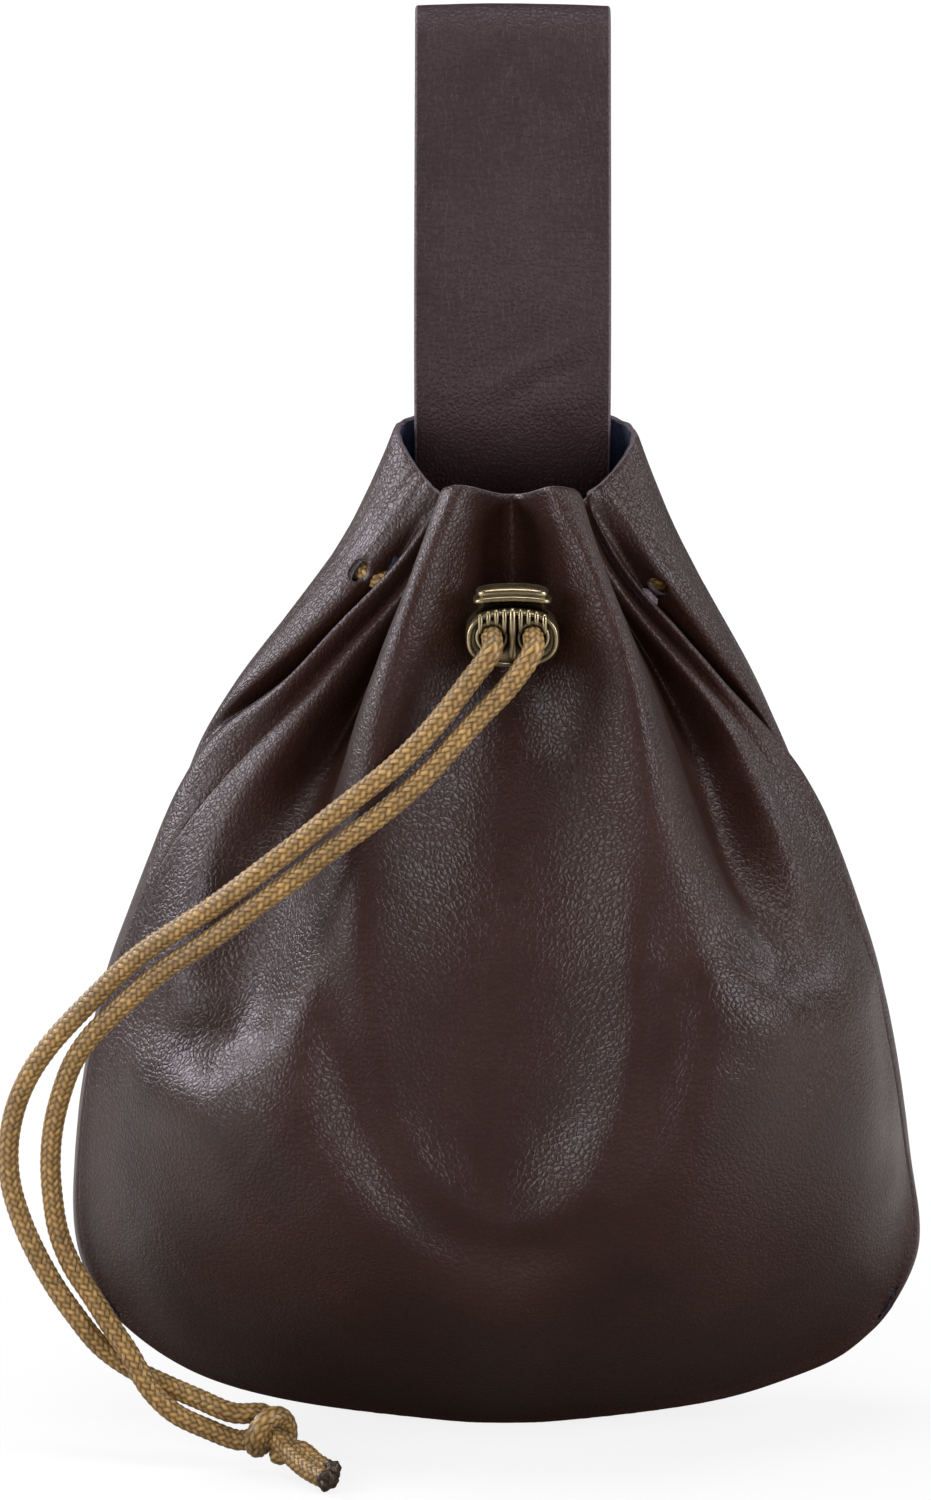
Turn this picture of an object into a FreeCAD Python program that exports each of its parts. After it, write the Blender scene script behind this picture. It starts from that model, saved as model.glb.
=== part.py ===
import FreeCAD, Part
import math
import os

from FreeCAD import Placement, Rotation, Vector

# Drawstring dice bag: a two-panel leather pouch with a belt loop, a braided
# drawstring and a two-hole spring cord lock.
# Millimetres, +Z up, -Y is the front, origin on the floor under the middle of
# the pouch, close to the plane of the seam.

# ---------------------------------------------------------------- dimensions
# alias, value, note
DIMENSIONS = [
    ("pouch_scale_x", 1.0, "1 = pouch 142 wide over the side bulges"),
    ("pouch_scale_y", 1.0, "1 = pouch 80 deep"),
    ("pouch_scale_z", 1.0, "1 = back rim 174 above the floor"),
    ("leather_thickness", 1.2, ""),
    ("seam_gap", 0.4, "each panel edge stands this far off the stitch line"),
    ("seam_thread_radius", 0.2, ""),
    ("seam_stitch_length", 3.2, ""),
    ("seam_stitch_gap", 0.8, ""),
    ("seam_thread_depth", 0.6, "below the outer face, along the side seams"),
    ("seam_bottom_extra", 0.25, "added depth along the bottom seam"),
    ("seam_split_margin", 0.8, "stitches end this far below the neck split"),
    ("neck_split_height", 100.0, "where the gathered neck of the front begins to move"),
    ("neck_split_gap", 0.6, ""),
    ("rest_depth", 0.0, "height of the floor plane"),
    ("strap_width", 33.0, "belt loop"),
    ("strap_thickness", 1.6, ""),
    ("strap_centre_x", 1.3, ""),
    ("strap_front_y", 12.9, "front face of the front leg"),
    ("strap_rear_y", 22.4, "rear face of the rear leg"),
    ("strap_bottom_z", 178.5, "where the loop leaves the rim"),
    ("strap_top_z", 243.2, "top of the fold"),
    ("tab_length", 17.0, "sewn ends of the strap"),
    ("tab_top_z", 168.6, ""),
    ("tab_lean", 18.4, "degrees, follows the back panel"),
    ("tab_panel_y", 20.0, "outer face of the back panel at the tab top"),
    ("tab_clear", 0.95, "outer tab to the panel"),
    ("tab_clear_inner", 1.0, "the panel bows between the two sewn ends"),
    ("stitch_size", 0.7, "square section of the tab stitches"),
    ("stitch_span", 5.0, "between the two legs of a stitch"),
    ("stitch_pitch", 7.0, ""),
    ("stitch_margin", 3.0, "stitch rows from the tab ends"),
    ("stitch_clear", 0.1, "between the strap faces and the stitch bars"),
    ("cord_radius", 1.85, "braided drawstring"),
    ("cord_hole_radius", 2.4, "bare punched holes"),
    ("lead_rear_y", -0.9, "rear end of the two straight cord leads"),
    ("lead_overrun", 1.2, "leads past the front of the lock"),
    ("lock_x", 1.0, ""),
    ("lock_y", -31.6, ""),
    ("lock_z", 143.05, "height of the two cord holes"),
    ("lock_depth", 9.0, ""),
    ("lock_band_width", 12.4, ""),
    ("lock_band_height", 9.8, ""),
    ("lock_band_low", 5.4, "below the cord holes"),
    ("lock_band_round", 1.2, "edge radius"),
    ("lock_end_radius", 4.3, ""),
    ("lock_end_offset", 3.6, ""),
    ("lock_end_height", 6.0, ""),
    ("lock_bore_radius", 2.1, ""),
    ("lock_bore_offset", 3.4, ""),
    ("lock_bore_overrun", 3.0, "bore tools past each face"),
    ("lock_rib_radius", 0.5, ""),
    ("lock_rib_pitch", 1.75, ""),
    ("centre_rib_width", 1.6, ""),
    ("centre_rib_depth", 1.0, "half of it stands proud of the front face"),
    ("lock_pocket_width", 11.8, ""),
    ("lock_pocket_depth", 3.4, ""),
    ("lock_floor", 0.45, "wall under the pocket"),
    ("stem_width", 11.4, ""),
    ("stem_depth", 3.0, ""),
    ("stem_low", 2.75, "bottom of the plunger below the cord holes"),
    ("stem_overlap", 0.2, "stem into the button cap"),
    ("slot_half_width", 1.98, ""),
    ("slot_low", 2.0, "below the cord holes"),
    ("slot_high", 3.3, "above the cord holes"),
    ("slot_overrun", 2.0, "slot tools past each face of the stem"),
    ("cap_width", 12.0, ""),
    ("cap_depth", 6.8, ""),
    ("cap_low", 5.85, "underside of the button above the cord holes"),
    ("cap_height", 2.1, ""),
    ("cap_edge_round", 0.9, ""),
    ("spring_radius", 1.25, ""),
    ("spring_wire", 0.16, "wire radius"),
    ("spring_turns", 2.5, ""),
    ("spring_clear", 0.05, "at each end"),
    ("knot_radius_x", 4.3, ""),
    ("knot_radius_y", 4.2, ""),
    ("knot_radius_z", 4.6, ""),
    ("knot_cord_clear", 0.25, "around the two cord ends"),
    ("knot_cord_end_gap", 0.7, "beyond the two cord ends"),
]
ALIASES = {alias for alias, value, note in DIMENSIONS}

doc = FreeCAD.newDocument("drawstring_dice_bag")
sheet = doc.addObject("Spreadsheet::Sheet", "Dimensions")
for row, (alias, value, note) in enumerate(DIMENSIONS, start=1):
    sheet.set("A%d" % row, alias)
    sheet.set("B%d" % row, repr(float(value)))
    sheet.set("C%d" % row, note)
    sheet.setAlias("B%d" % row, alias)
doc.recompute()


def dim(alias):
    return float(sheet.get(alias))


# ------------------------------------------------------------ gathered shape
# Each line of (x, y, z) points is one crease, ridge or valley of a gathered
# panel, read from the bottom seam up to the mouth. Lines run left to right;
# both panels share the two side seams.
LEFT_SEAM = [
    (-68.30, -1.0, 19.68), (-72.95, -1.19, 32.20), (-73.33, -1.63, 45.63), (-72.02, -2.20, 59.03),
    (-69.41, -2.76, 72.22), (-64.86, -3.27, 84.89), (-59.71, -3.66, 97.32),
    (-52.39, -3.96, 108.60), (-43.53, -4.02, 118.75), (-34.42, -3.99, 128.67),
    (-25.26, -4.00, 138.55), (-16.40, -4.00, 148.66), (-9.83, -4.00, 160.42),
]
RIGHT_SEAM = [
    (66.92, -1.0, 20.39), (70.63, -1.10, 32.74), (69.28, -1.63, 45.70), (67.20, -2.18, 58.57),
    (64.76, -2.70, 71.38), (61.64, -3.18, 84.03), (57.25, -3.60, 96.30),
    (51.06, -3.96, 107.78), (43.59, -4.02, 118.47), (35.55, -4.00, 128.75),
    (26.89, -4.00, 138.51), (18.77, -4.00, 148.71), (13.07, -4.00, 160.42),
]
FRONT_LINES = [
    LEFT_SEAM,
    [(-56.83, -1.0, 10.45), (-59.84, -9.51, 21.48), (-62.93, -13.71, 34.67),
     (-64.60, -14.15, 48.81), (-64.02, -12.89, 63.01), (-61.83, -11.52, 77.04),
     (-57.65, -10.50, 90.64), (-51.17, -9.65, 103.32), (-42.93, -8.83, 114.93),
     (-33.80, -8.07, 125.89), (-24.86, -7.26, 136.99), (-15.78, -6.23, 147.93),
     (-9.82, -7.00, 160.84)],
    [(-45.64, -1.0, 5.64), (-49.98, -10.77, 16.24), (-53.73, -18.71, 28.43),
     (-56.69, -22.83, 42.53), (-58.42, -22.64, 57.45), (-57.59, -20.35, 72.28),
     (-53.72, -17.16, 86.46), (-47.68, -12.90, 99.56), (-39.55, -8.76, 111.52),
     (-30.43, -5.32, 123.00), (-21.81, -4.47, 135.28), (-14.30, -6.29, 148.19),
     (-9.81, -10.50, 161.84)],
    [(-35.29, -1.0, 3.32), (-37.87, -12.24, 14.10), (-41.25, -22.23, 25.81),
     (-45.69, -29.52, 39.04), (-49.51, -32.76, 53.92), (-49.92, -29.46, 69.11),
     (-45.32, -21.94, 82.13), (-39.30, -16.75, 95.75), (-32.54, -10.12, 108.37),
     (-26.08, -3.69, 121.23), (-19.87, -3.75, 135.46), (-14.02, -10.10, 148.64),
     (-10.14, -14.50, 163.24)],
    [(-26.66, -1.0, 1.90), (-28.82, -12.58, 12.18), (-31.82, -23.26, 23.18),
     (-36.29, -31.91, 35.37), (-41.76, -36.44, 49.20), (-45.24, -35.58, 64.29),
     (-40.12, -31.57, 78.15), (-34.98, -29.62, 92.66), (-29.69, -29.00, 107.35),
     (-26.24, -29.51, 122.58), (-21.40, -28.72, 137.40), (-15.85, -26.28, 151.72),
     (-10.78, -20.50, 165.25)],
    [(-19.41, -1.0, 1.00), (-21.43, -13.32, 10.65), (-23.66, -24.67, 21.37),
     (-26.39, -33.81, 33.90), (-31.28, -39.08, 47.83), (-36.44, -40.05, 62.62),
     (-33.88, -39.77, 77.99), (-28.19, -39.26, 92.69), (-24.05, -38.70, 107.91),
     (-20.35, -37.47, 123.20), (-16.87, -35.28, 138.43), (-12.73, -31.64, 153.19),
     (-8.12, -25.00, 166.71)],
    [(-11.12, -1.0, 0.11), (-12.00, -13.18, 9.79), (-13.12, -24.72, 20.19),
     (-14.83, -34.85, 31.87), (-19.36, -40.21, 45.51), (-23.79, -39.08, 60.21),
     (-20.90, -38.09, 75.44), (-16.66, -37.05, 90.40), (-13.28, -35.25, 105.49),
     (-10.62, -32.22, 120.54), (-8.08, -28.23, 135.38), (-5.88, -23.98, 150.18),
     (-3.81, -21.00, 165.32)],
    [(-0.75, -1.0, -0.60), (-1.12, -13.97, 8.03), (-1.37, -26.36, 17.45),
     (-2.06, -36.91, 28.85), (-2.65, -38.08, 43.29), (-2.53, -35.35, 58.46),
     (-1.68, -34.89, 74.01), (-1.01, -33.56, 89.52), (-0.45, -31.50, 104.95),
     (0.16, -28.45, 120.20), (0.78, -21.58, 134.11), (1.08, -14.38, 147.85),
     (0.89, -12.00, 163.23)],
    [(9.61, -1.0, -0.07), (9.55, -13.55, 8.93), (9.76, -25.25, 18.99),
     (10.51, -35.07, 30.84), (12.67, -40.51, 44.96), (16.03, -39.62, 59.98),
     (16.97, -38.63, 75.34), (15.99, -37.35, 90.70), (14.17, -35.13, 105.87),
     (11.97, -32.16, 120.86), (9.92, -28.14, 135.62), (7.80, -23.96, 150.31),
     (4.82, -21.00, 165.15)],
    [(19.97, -1.0, 1.00), (20.38, -13.73, 10.12), (20.85, -25.36, 20.55),
     (21.59, -34.52, 33.18), (24.12, -40.06, 47.53), (28.48, -41.67, 62.45),
     (30.47, -41.35, 77.91), (28.08, -40.59, 93.34), (24.17, -39.45, 108.46),
     (20.96, -37.72, 123.68), (17.94, -35.17, 138.83), (13.59, -31.57, 153.41),
     (8.25, -25.00, 166.54)],
    [(30.33, -1.0, 2.43), (31.42, -13.02, 12.30), (32.72, -23.99, 23.30),
     (34.50, -32.60, 36.13), (37.45, -37.38, 50.61), (41.26, -38.54, 65.67),
     (43.72, -37.98, 81.02), (38.67, -33.96, 94.47), (31.77, -31.82, 107.99),
     (26.93, -30.54, 122.76), (22.30, -29.26, 137.60), (16.84, -26.28, 151.87),
     (11.80, -20.00, 165.18)],
    [(39.81, -1.0, 4.39), (42.39, -11.96, 15.32), (45.33, -21.22, 27.61),
     (48.42, -27.65, 41.56), (50.92, -31.13, 56.63), (52.22, -31.16, 72.23),
     (47.57, -30.16, 86.92), (40.07, -20.71, 96.78), (34.56, -12.48, 108.94),
     (29.24, -4.91, 121.60), (22.83, -4.46, 135.63), (16.54, -10.15, 148.82),
     (12.56, -14.50, 163.24)],
    [(49.28, -1.0, 7.60), (53.12, -9.15, 19.28), (56.95, -16.00, 31.75),
     (59.45, -20.67, 45.49), (59.42, -23.39, 59.96), (57.01, -24.26, 74.46),
     (52.82, -22.65, 88.48), (47.32, -18.32, 101.44), (40.72, -12.90, 113.46),
     (33.54, -6.36, 124.54), (24.66, -4.54, 136.06), (16.73, -6.38, 148.34),
     (12.96, -10.50, 161.84)],
    [(59.59, -1.0, 12.58), (63.04, -5.81, 25.01), (65.78, -9.95, 37.82),
     (65.07, -12.56, 51.30), (62.96, -13.68, 64.85), (60.04, -14.00, 78.31),
     (56.03, -13.28, 91.45), (49.98, -11.66, 103.70), (43.04, -10.10, 115.50),
     (35.39, -8.26, 126.79), (26.53, -6.89, 137.25), (18.27, -6.20, 148.24),
     (13.02, -7.00, 160.84)],
    RIGHT_SEAM,
]
BACK_LINES = [
    LEFT_SEAM,
    [(-66.68, -1.0, 18.20), (-73.52, 3.42, 29.14), (-74.22, 4.05, 43.04),
     (-73.01, 3.82, 56.95), (-70.26, 3.28, 70.64), (-66.35, 2.84, 84.05),
     (-61.46, 2.30, 97.13), (-56.05, 1.71, 110.00), (-48.31, -1.03, 121.18),
     (-38.12, -3.83, 130.31), (-28.49, -4.99, 140.36), (-18.67, -5.01, 150.28),
     (-10.33, -4.20, 161.29)],
    [(-64.87, -1.0, 16.57), (-71.40, 9.19, 24.35), (-73.60, 11.98, 38.27),
     (-73.11, 12.07, 52.86), (-70.96, 11.33, 67.29), (-66.94, 10.45, 81.30),
     (-61.84, 9.43, 94.95), (-55.92, 8.74, 108.29), (-48.45, 6.13, 120.47),
     (-36.44, 5.88, 128.70), (-26.18, 3.68, 138.82), (-18.33, -0.97, 150.20),
     (-11.68, -4.50, 162.70)],
    [(-60.87, -1.0, 13.25), (-66.25, 12.44, 18.50), (-69.57, 20.25, 30.79),
     (-69.75, 21.20, 46.19), (-68.16, 20.62, 61.56), (-65.56, 19.37, 76.75),
     (-61.75, 17.55, 91.62), (-56.38, 14.88, 105.86), (-51.01, 9.21, 119.14),
     (-42.13, 2.35, 129.56), (-31.47, -1.78, 139.94), (-21.90, -2.53, 151.90),
     (-14.39, -1.00, 165.27)],
    [(-52.49, -1.0, 8.16), (-56.42, 13.60, 13.43), (-60.23, 24.69, 23.92),
     (-62.46, 28.31, 39.26), (-62.28, 28.46, 55.26), (-60.79, 27.79, 71.20),
     (-58.54, 25.96, 86.96), (-54.64, 23.35, 102.26), (-50.76, 18.16, 116.89),
     (-43.89, 13.63, 130.53), (-34.33, 10.88, 143.08), (-25.28, 9.47, 156.18),
     (-18.70, 9.00, 170.77)],
    [(-40.47, -1.0, 4.34), (-43.00, 14.42, 9.12), (-45.97, 27.40, 18.28),
     (-48.71, 34.00, 32.81), (-49.69, 35.03, 49.04), (-49.33, 34.72, 65.36),
     (-48.14, 33.69, 81.62), (-45.28, 32.08, 97.61), (-41.67, 29.44, 113.31),
     (-36.48, 26.34, 128.46), (-29.31, 24.82, 143.05), (-22.42, 22.21, 157.60),
     (-17.24, 17.30, 172.27)],
    [(-27.54, -1.0, 2.02), (-29.55, 14.29, 7.51), (-31.80, 27.67, 16.45),
     (-33.88, 35.92, 30.24), (-34.58, 37.15, 46.45), (-34.18, 36.71, 62.80),
     (-32.57, 35.58, 79.02), (-29.91, 33.08, 94.96), (-26.44, 30.96, 110.80),
     (-22.46, 29.59, 126.60), (-18.77, 26.90, 142.30), (-15.67, 23.54, 158.01),
     (-13.65, 18.30, 173.35)],
    [(-14.59, -1.0, 0.48), (-15.85, 14.46, 5.90), (-17.03, 28.02, 14.96),
     (-17.91, 36.56, 28.83), (-18.33, 38.53, 45.07), (-17.97, 38.56, 61.52),
     (-17.13, 38.14, 77.93), (-15.87, 36.73, 94.27), (-13.96, 34.69, 110.48),
     (-11.92, 31.77, 126.53), (-10.14, 27.99, 142.44), (-8.72, 23.97, 158.32),
     (-7.66, 18.60, 173.83)],
    [(-0.76, -1.0, -0.60), (-0.79, 14.29, 5.42), (-0.81, 27.75, 14.72),
     (-0.79, 36.45, 28.52), (-0.65, 38.53, 44.75), (-0.54, 38.54, 61.19),
     (-0.30, 38.20, 77.63), (0.12, 36.72, 93.99), (0.51, 34.27, 110.25),
     (0.79, 31.25, 126.41), (1.09, 27.88, 142.50), (1.28, 24.03, 158.48),
     (1.25, 18.60, 174.00)],
    [(13.07, -1.0, 0.26), (14.42, 14.45, 5.90), (15.88, 27.99, 14.92),
     (17.28, 36.53, 28.74), (18.16, 38.53, 44.95), (18.24, 38.56, 61.38),
     (17.83, 38.15, 77.81), (16.98, 36.74, 94.16), (15.46, 34.70, 110.40),
     (13.79, 31.78, 126.49), (12.36, 28.00, 142.42), (11.30, 23.97, 158.32),
     (10.49, 18.60, 173.83)],
    [(26.07, -1.0, 1.79), (28.13, 14.25, 7.50), (30.67, 27.60, 16.38),
     (33.26, 35.86, 30.04), (34.42, 37.15, 46.20), (34.46, 36.72, 62.53),
     (33.28, 35.61, 78.77), (31.01, 33.12, 94.75), (27.92, 30.98, 110.63),
     (24.31, 29.60, 126.50), (20.98, 26.91, 142.26), (18.23, 23.55, 158.00),
     (16.48, 18.30, 173.35)],
    [(38.99, -1.0, 4.17), (41.61, 14.36, 9.11), (44.87, 27.31, 18.16),
     (48.10, 33.94, 32.53), (49.56, 35.03, 48.68), (49.64, 34.73, 64.97),
     (48.89, 33.72, 81.22), (46.47, 32.12, 97.24), (43.22, 29.51, 112.99),
     (38.41, 26.38, 128.21), (31.57, 24.83, 142.91), (24.96, 22.22, 157.55),
     (20.06, 17.30, 172.27)],
    [(49.29, -1.0, 7.60), (54.84, 12.34, 13.44), (59.07, 22.55, 24.12),
     (60.73, 26.63, 38.99), (60.53, 26.84, 54.57), (59.20, 25.48, 70.05),
     (56.98, 23.50, 85.37), (53.28, 20.76, 100.26), (48.70, 17.22, 114.75),
     (42.70, 14.05, 128.78), (35.30, 10.96, 142.15), (28.15, 9.51, 155.95),
     (22.43, 9.00, 170.42)],
    [(57.05, -1.0, 10.95), (62.99, 9.07, 19.86), (66.27, 15.77, 32.33),
     (66.37, 17.33, 46.90), (64.94, 16.71, 61.52), (62.35, 15.64, 75.96),
     (58.53, 13.60, 90.02), (53.68, 11.23, 103.70), (47.94, 7.87, 116.82),
     (40.75, 2.55, 128.43), (32.76, -1.40, 140.11), (24.91, -2.54, 152.41),
     (18.00, -1.00, 165.27)],
    [(62.02, -1.0, 14.68), (66.78, 6.20, 25.56), (68.49, 9.33, 38.93),
     (67.61, 9.56, 52.87), (65.40, 9.36, 66.67), (62.24, 8.74, 80.28),
     (58.19, 7.73, 93.62), (53.36, 6.68, 106.70), (46.13, 5.56, 118.50),
     (36.64, 5.37, 128.77), (27.64, 3.17, 139.22), (20.23, -1.01, 150.29),
     (14.24, -4.50, 162.36)],
    [(64.32, -1.0, 17.18), (70.98, 2.59, 28.27), (70.66, 3.01, 41.87),
     (68.93, 3.00, 55.41), (66.67, 2.99, 68.88), (63.50, 3.06, 82.16),
     (59.21, 2.53, 95.12), (54.14, 2.01, 107.79), (46.93, -0.08, 119.03),
     (38.15, -2.90, 129.10), (29.40, -4.89, 139.39), (20.46, -5.04, 149.68),
     (13.57, -4.20, 161.29)],
    RIGHT_SEAM,
]

# --------------------------------------------------------------- cord paths
# (x, y, z) centre points. The drawstring runs round the neck: inside the
# lobes, outside across the side grooves and the front valley.
LEFT_FRONT = [
    (-6.6, -8.0, 144.8), (-9.2, -5.9, 145.5), (-12.2, -2.6, 146.4),
    (-14.8, -0.9, 146.9), (-16.9, -0.5, 147.15),
]
RIGHT_FRONT = [
    (8.3, -8.6, 144.6), (11.4, -6.2, 144.6), (14.6, -2.6, 145.0),
    (17.8, -0.6, 145.3), (20.4, -0.4, 145.5),
]
LEFT_BACK = [
    (-19.4, -0.5, 147.3), (-21.4, -1.2, 147.5), (-23.1, -0.4, 147.8),
    (-24.2, 2.6, 147.9), (-25.3, 6.4, 147.8), (-25.8, 10.4, 147.6),
]
REAR = [
    (-24.6, 14.0, 147.2), (-21.4, 17.2, 146.8), (-15.0, 18.4, 146.4),
    (-7.0, 18.9, 146.0), (1.0, 18.9, 145.6), (9.0, 18.9, 145.4),
    (17.0, 18.4, 145.2), (23.2, 17.2, 145.2), (27.4, 14.0, 145.4),
]
RIGHT_BACK = [
    (21.2, -0.5, 145.5), (23.4, -1.3, 145.6), (25.4, -0.9, 145.7),
    (27.4, 1.6, 145.7), (29.0, 5.2, 145.5), (29.2, 9.5, 145.4),
]
# From the lock down across the front to the left side of the pouch.
TAIL_LEFT = [
    (-2.40, -39.70, 141.35), (-6.26, -40.19, 136.11), (-10.24, -40.53, 130.95),
    (-14.54, -41.09, 126.08), (-19.30, -41.80, 121.67), (-24.41, -41.97, 117.63),
    (-29.47, -41.62, 113.53), (-34.45, -41.04, 109.35), (-39.64, -41.00, 105.39),
    (-44.60, -39.80, 101.39), (-49.38, -37.61, 97.53), (-54.51, -35.82, 93.92),
    (-59.39, -33.48, 90.27), (-63.79, -30.95, 86.19),
]
TAIL_RIGHT = [
    (4.40, -39.70, 141.35), (0.55, -40.05, 135.65), (-4.18, -40.25, 130.67),
    (-8.81, -40.68, 125.59), (-13.47, -41.32, 120.56), (-18.65, -41.83, 116.05),
    (-24.07, -41.68, 111.80), (-29.63, -41.05, 107.79), (-34.97, -40.68, 103.45),
    (-40.50, -40.32, 99.38), (-45.66, -38.69, 95.11), (-50.85, -36.60, 91.10),
    (-55.92, -33.76, 87.41), (-60.64, -31.18, 83.10),
]
# From below the tails down the left side to the knot.
END_LEFT = [
    (-68.00, -28.92, 81.64), (-72.29, -27.51, 77.02), (-76.41, -26.40, 72.18),
    (-79.91, -25.45, 66.85), (-82.37, -24.80, 60.93), (-83.55, -24.47, 54.60),
    (-83.31, -24.30, 48.17), (-81.64, -24.25, 41.94), (-79.14, -24.26, 35.99),
    (-76.06, -24.39, 30.33), (-72.44, -24.51, 24.99), (-68.49, -24.22, 19.89),
    (-63.41, -24.01, 15.97), (-57.61, -24.87, 13.32), (-51.80, -26.80, 11.27),
    (-45.93, -28.68, 9.34),
]
END_RIGHT = [
    (-65.04, -29.29, 78.69), (-69.13, -27.85, 74.38), (-72.40, -26.48, 69.41),
    (-74.54, -25.51, 63.77), (-75.98, -24.96, 57.86), (-76.53, -24.65, 51.78),
    (-76.23, -24.49, 45.67), (-75.31, -24.38, 39.63), (-73.15, -24.43, 33.93),
    (-69.86, -24.80, 28.79), (-66.57, -25.76, 23.73), (-63.15, -27.24, 18.88),
    (-60.14, -28.33, 13.67), (-55.89, -28.53, 9.35), (-50.43, -28.62, 6.63),
    (-44.66, -29.21, 4.69),
]
# Cord tips leaving the knot, after the point they share with it.
KNOT_CENTRE = Vector(-39.6, -30.3, 6.6)
TIP_UPPER_RISE = Vector(0, 0, 0.6)
TIP_LOWER = [(-35.4, -34.6, 4.6), (-31.0, -39.6, 3.0), (-29.6, -41.6, 2.6)]
TIP_UPPER = [(-36.4, -37.0, 5.6), (-31.6, -43.6, 2.9), (-29.2, -46.6, 2.3)]

# Punched holes in the back panel: name, start, end of the punch axis
BACK_PUNCHES = [
    ("punch_ridge_left", (-18.6, -0.2, 147.2), (-24.8, -1.6, 147.9)),
    ("punch_lobe_left", (-22.2, -2.2, 147.6), (-25.0, 5.2, 148.0)),
    ("punch_ridge_right", (20.4, -0.2, 145.4), (27.0, -1.7, 145.8)),
    ("punch_lobe_right", (24.2, -2.6, 145.7), (30.2, 3.2, 145.8)),
]

GRID_STEPS = 2      # steps between neighbouring panel points
CORD_STEPS = 2      # steps between neighbouring cord points
SEAM_STEPS = 8      # steps between neighbouring seam thread points
STITCHES_PER_ROW = 4

SIDES = (("left", "-"), ("right", "+"))


# ---------------------------------------------------------- document helpers
def bind(obj, prop, expression):
    """Bind a property to an expression; its words are split by spaces, aliases bare."""
    words = str(expression).split()
    words = ["Dimensions." + word if word in ALIASES else word for word in words]
    obj.setExpression(prop, " ".join(words))


def add(kind, name):
    obj = doc.addObject("Part::" + kind, name)
    obj.Label = name
    return obj


def bind_base(obj, base):
    for axis, expression in zip("xyz", base):
        bind(obj, "Placement.Base." + axis, expression)


def box(name, size, corner):
    obj = add("Box", name)
    for prop, expression in zip(("Length", "Width", "Height"), size):
        bind(obj, prop, expression)
    bind_base(obj, corner)
    return obj


# Turns of a cylinder: "y" runs towards -Y, "x" towards +X.
AXIS_TURNS = {
    "x": Rotation(Vector(0, 1, 0), 90),
    "y": Rotation(Vector(1, 0, 0), 90),
    "z": Rotation(),
}


def cylinder(name, radius, height, base, axis="z"):
    obj = add("Cylinder", name)
    obj.Placement = Placement(Vector(0, 0, 0), AXIS_TURNS[axis])
    bind(obj, "Radius", radius)
    bind(obj, "Height", height)
    bind_base(obj, base)
    return obj


def fuse(name, shapes):
    obj = add("MultiFuse", name)
    obj.Shapes = shapes
    return obj


def boolean(kind, name, base, tool):
    obj = add(kind, name)
    obj.Base = base
    obj.Tool = tool
    return obj


def cut(name, base, tool):
    return boolean("Cut", name, base, tool)


def common(name, base, tool):
    return boolean("Common", name, base, tool)


def fillet(name, base, radius, wanted):
    doc.recompute()     # the base needs its edges
    obj = add("Fillet", name)
    obj.Base = base
    obj.Edges = [(number, radius, radius)
                 for number, edge in enumerate(base.Shape.Edges, start=1) if wanted(edge)]
    return obj


def feature(name, shape):
    obj = add("Feature", name)
    obj.Shape = shape
    obj.Placement = shape.Placement
    return obj


# ---------------------------------------------------------- geometry helpers
def unit(vector):
    vector = Vector(vector)
    vector.normalize()
    return vector


def spline(points, steps):
    """Natural cubic spline through the points, with steps in each gap."""
    count = len(points)
    upper = [0.0] * count
    right = [Vector(0, 0, 0)] * count
    for i in range(1, count - 1):
        pivot = 4.0 - upper[i - 1]
        upper[i] = 1.0 / pivot
        bend = (points[i + 1] - points[i] * 2 + points[i - 1]) * 6.0
        right[i] = (bend - right[i - 1]) * (1.0 / pivot)
    second = [Vector(0, 0, 0)] * count      # second derivatives
    for i in range(count - 2, 0, -1):
        second[i] = right[i] - second[i + 1] * upper[i]
    out = []
    for i in range(count - 1):
        for k in range(steps):
            after = k / steps
            before = 1.0 - after
            out.append(points[i] * before + points[i + 1] * after
                       + second[i] * ((before ** 3 - before) / 6.0)
                       + second[i + 1] * ((after ** 3 - after) / 6.0))
    out.append(points[-1])
    return out


def tube(points, radius):
    """Round cord: circles carried along the path without twist, then lofted.

    The path must not start vertically.
    """
    path = spline([Vector(*point) for point in points], CORD_STEPS)
    last = len(path) - 1
    tangents = [unit(path[min(i + 1, last)] - path[max(i - 1, 0)]) for i in range(len(path))]
    side = unit(tangents[0].cross(Vector(0, 0, 1)))
    rings = []
    for point, along in zip(path, tangents):
        side = unit(side - along * side.dot(along))
        up = along.cross(side)
        frame = FreeCAD.Matrix(side.x, up.x, along.x, point.x,
                               side.y, up.y, along.y, point.y,
                               side.z, up.z, along.z, point.z,
                               0, 0, 0, 1)
        circle = Part.makeCircle(radius)
        circle.Placement = Placement(frame)
        rings.append(Part.Wire([circle]))
    return Part.makeLoft(rings, True, False)


# -------------------------------------------------------------- panel sheets
def panel_grid(lines):
    """The scaled panel lines, refined both up the lines and across them."""
    scale_x, scale_y, scale_z = [dim("pouch_scale_" + axis) for axis in "xyz"]
    columns = [spline([Vector(x * scale_x, y * scale_y, z * scale_z) for x, y, z in line],
                      GRID_STEPS) for line in lines]
    rows = [spline(list(row), GRID_STEPS) for row in zip(*columns)]
    return [list(column) for column in zip(*rows)]


def surface(grid):
    result = Part.BSplineSurface()
    result.interpolate(grid)
    return result


def normal_at(panel_surface, point):
    u, v = panel_surface.parameter(point)
    return panel_surface.normal(u, v)


def outward_normals(panel_surface, grid, front):
    found = [[normal_at(panel_surface, point) for point in column] for column in grid]
    faces_back = sum(normal.y for column in found for normal in column) > 0
    flip = -1.0 if faces_back == front else 1.0
    return [[normal * flip for normal in column] for column in found]


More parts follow.
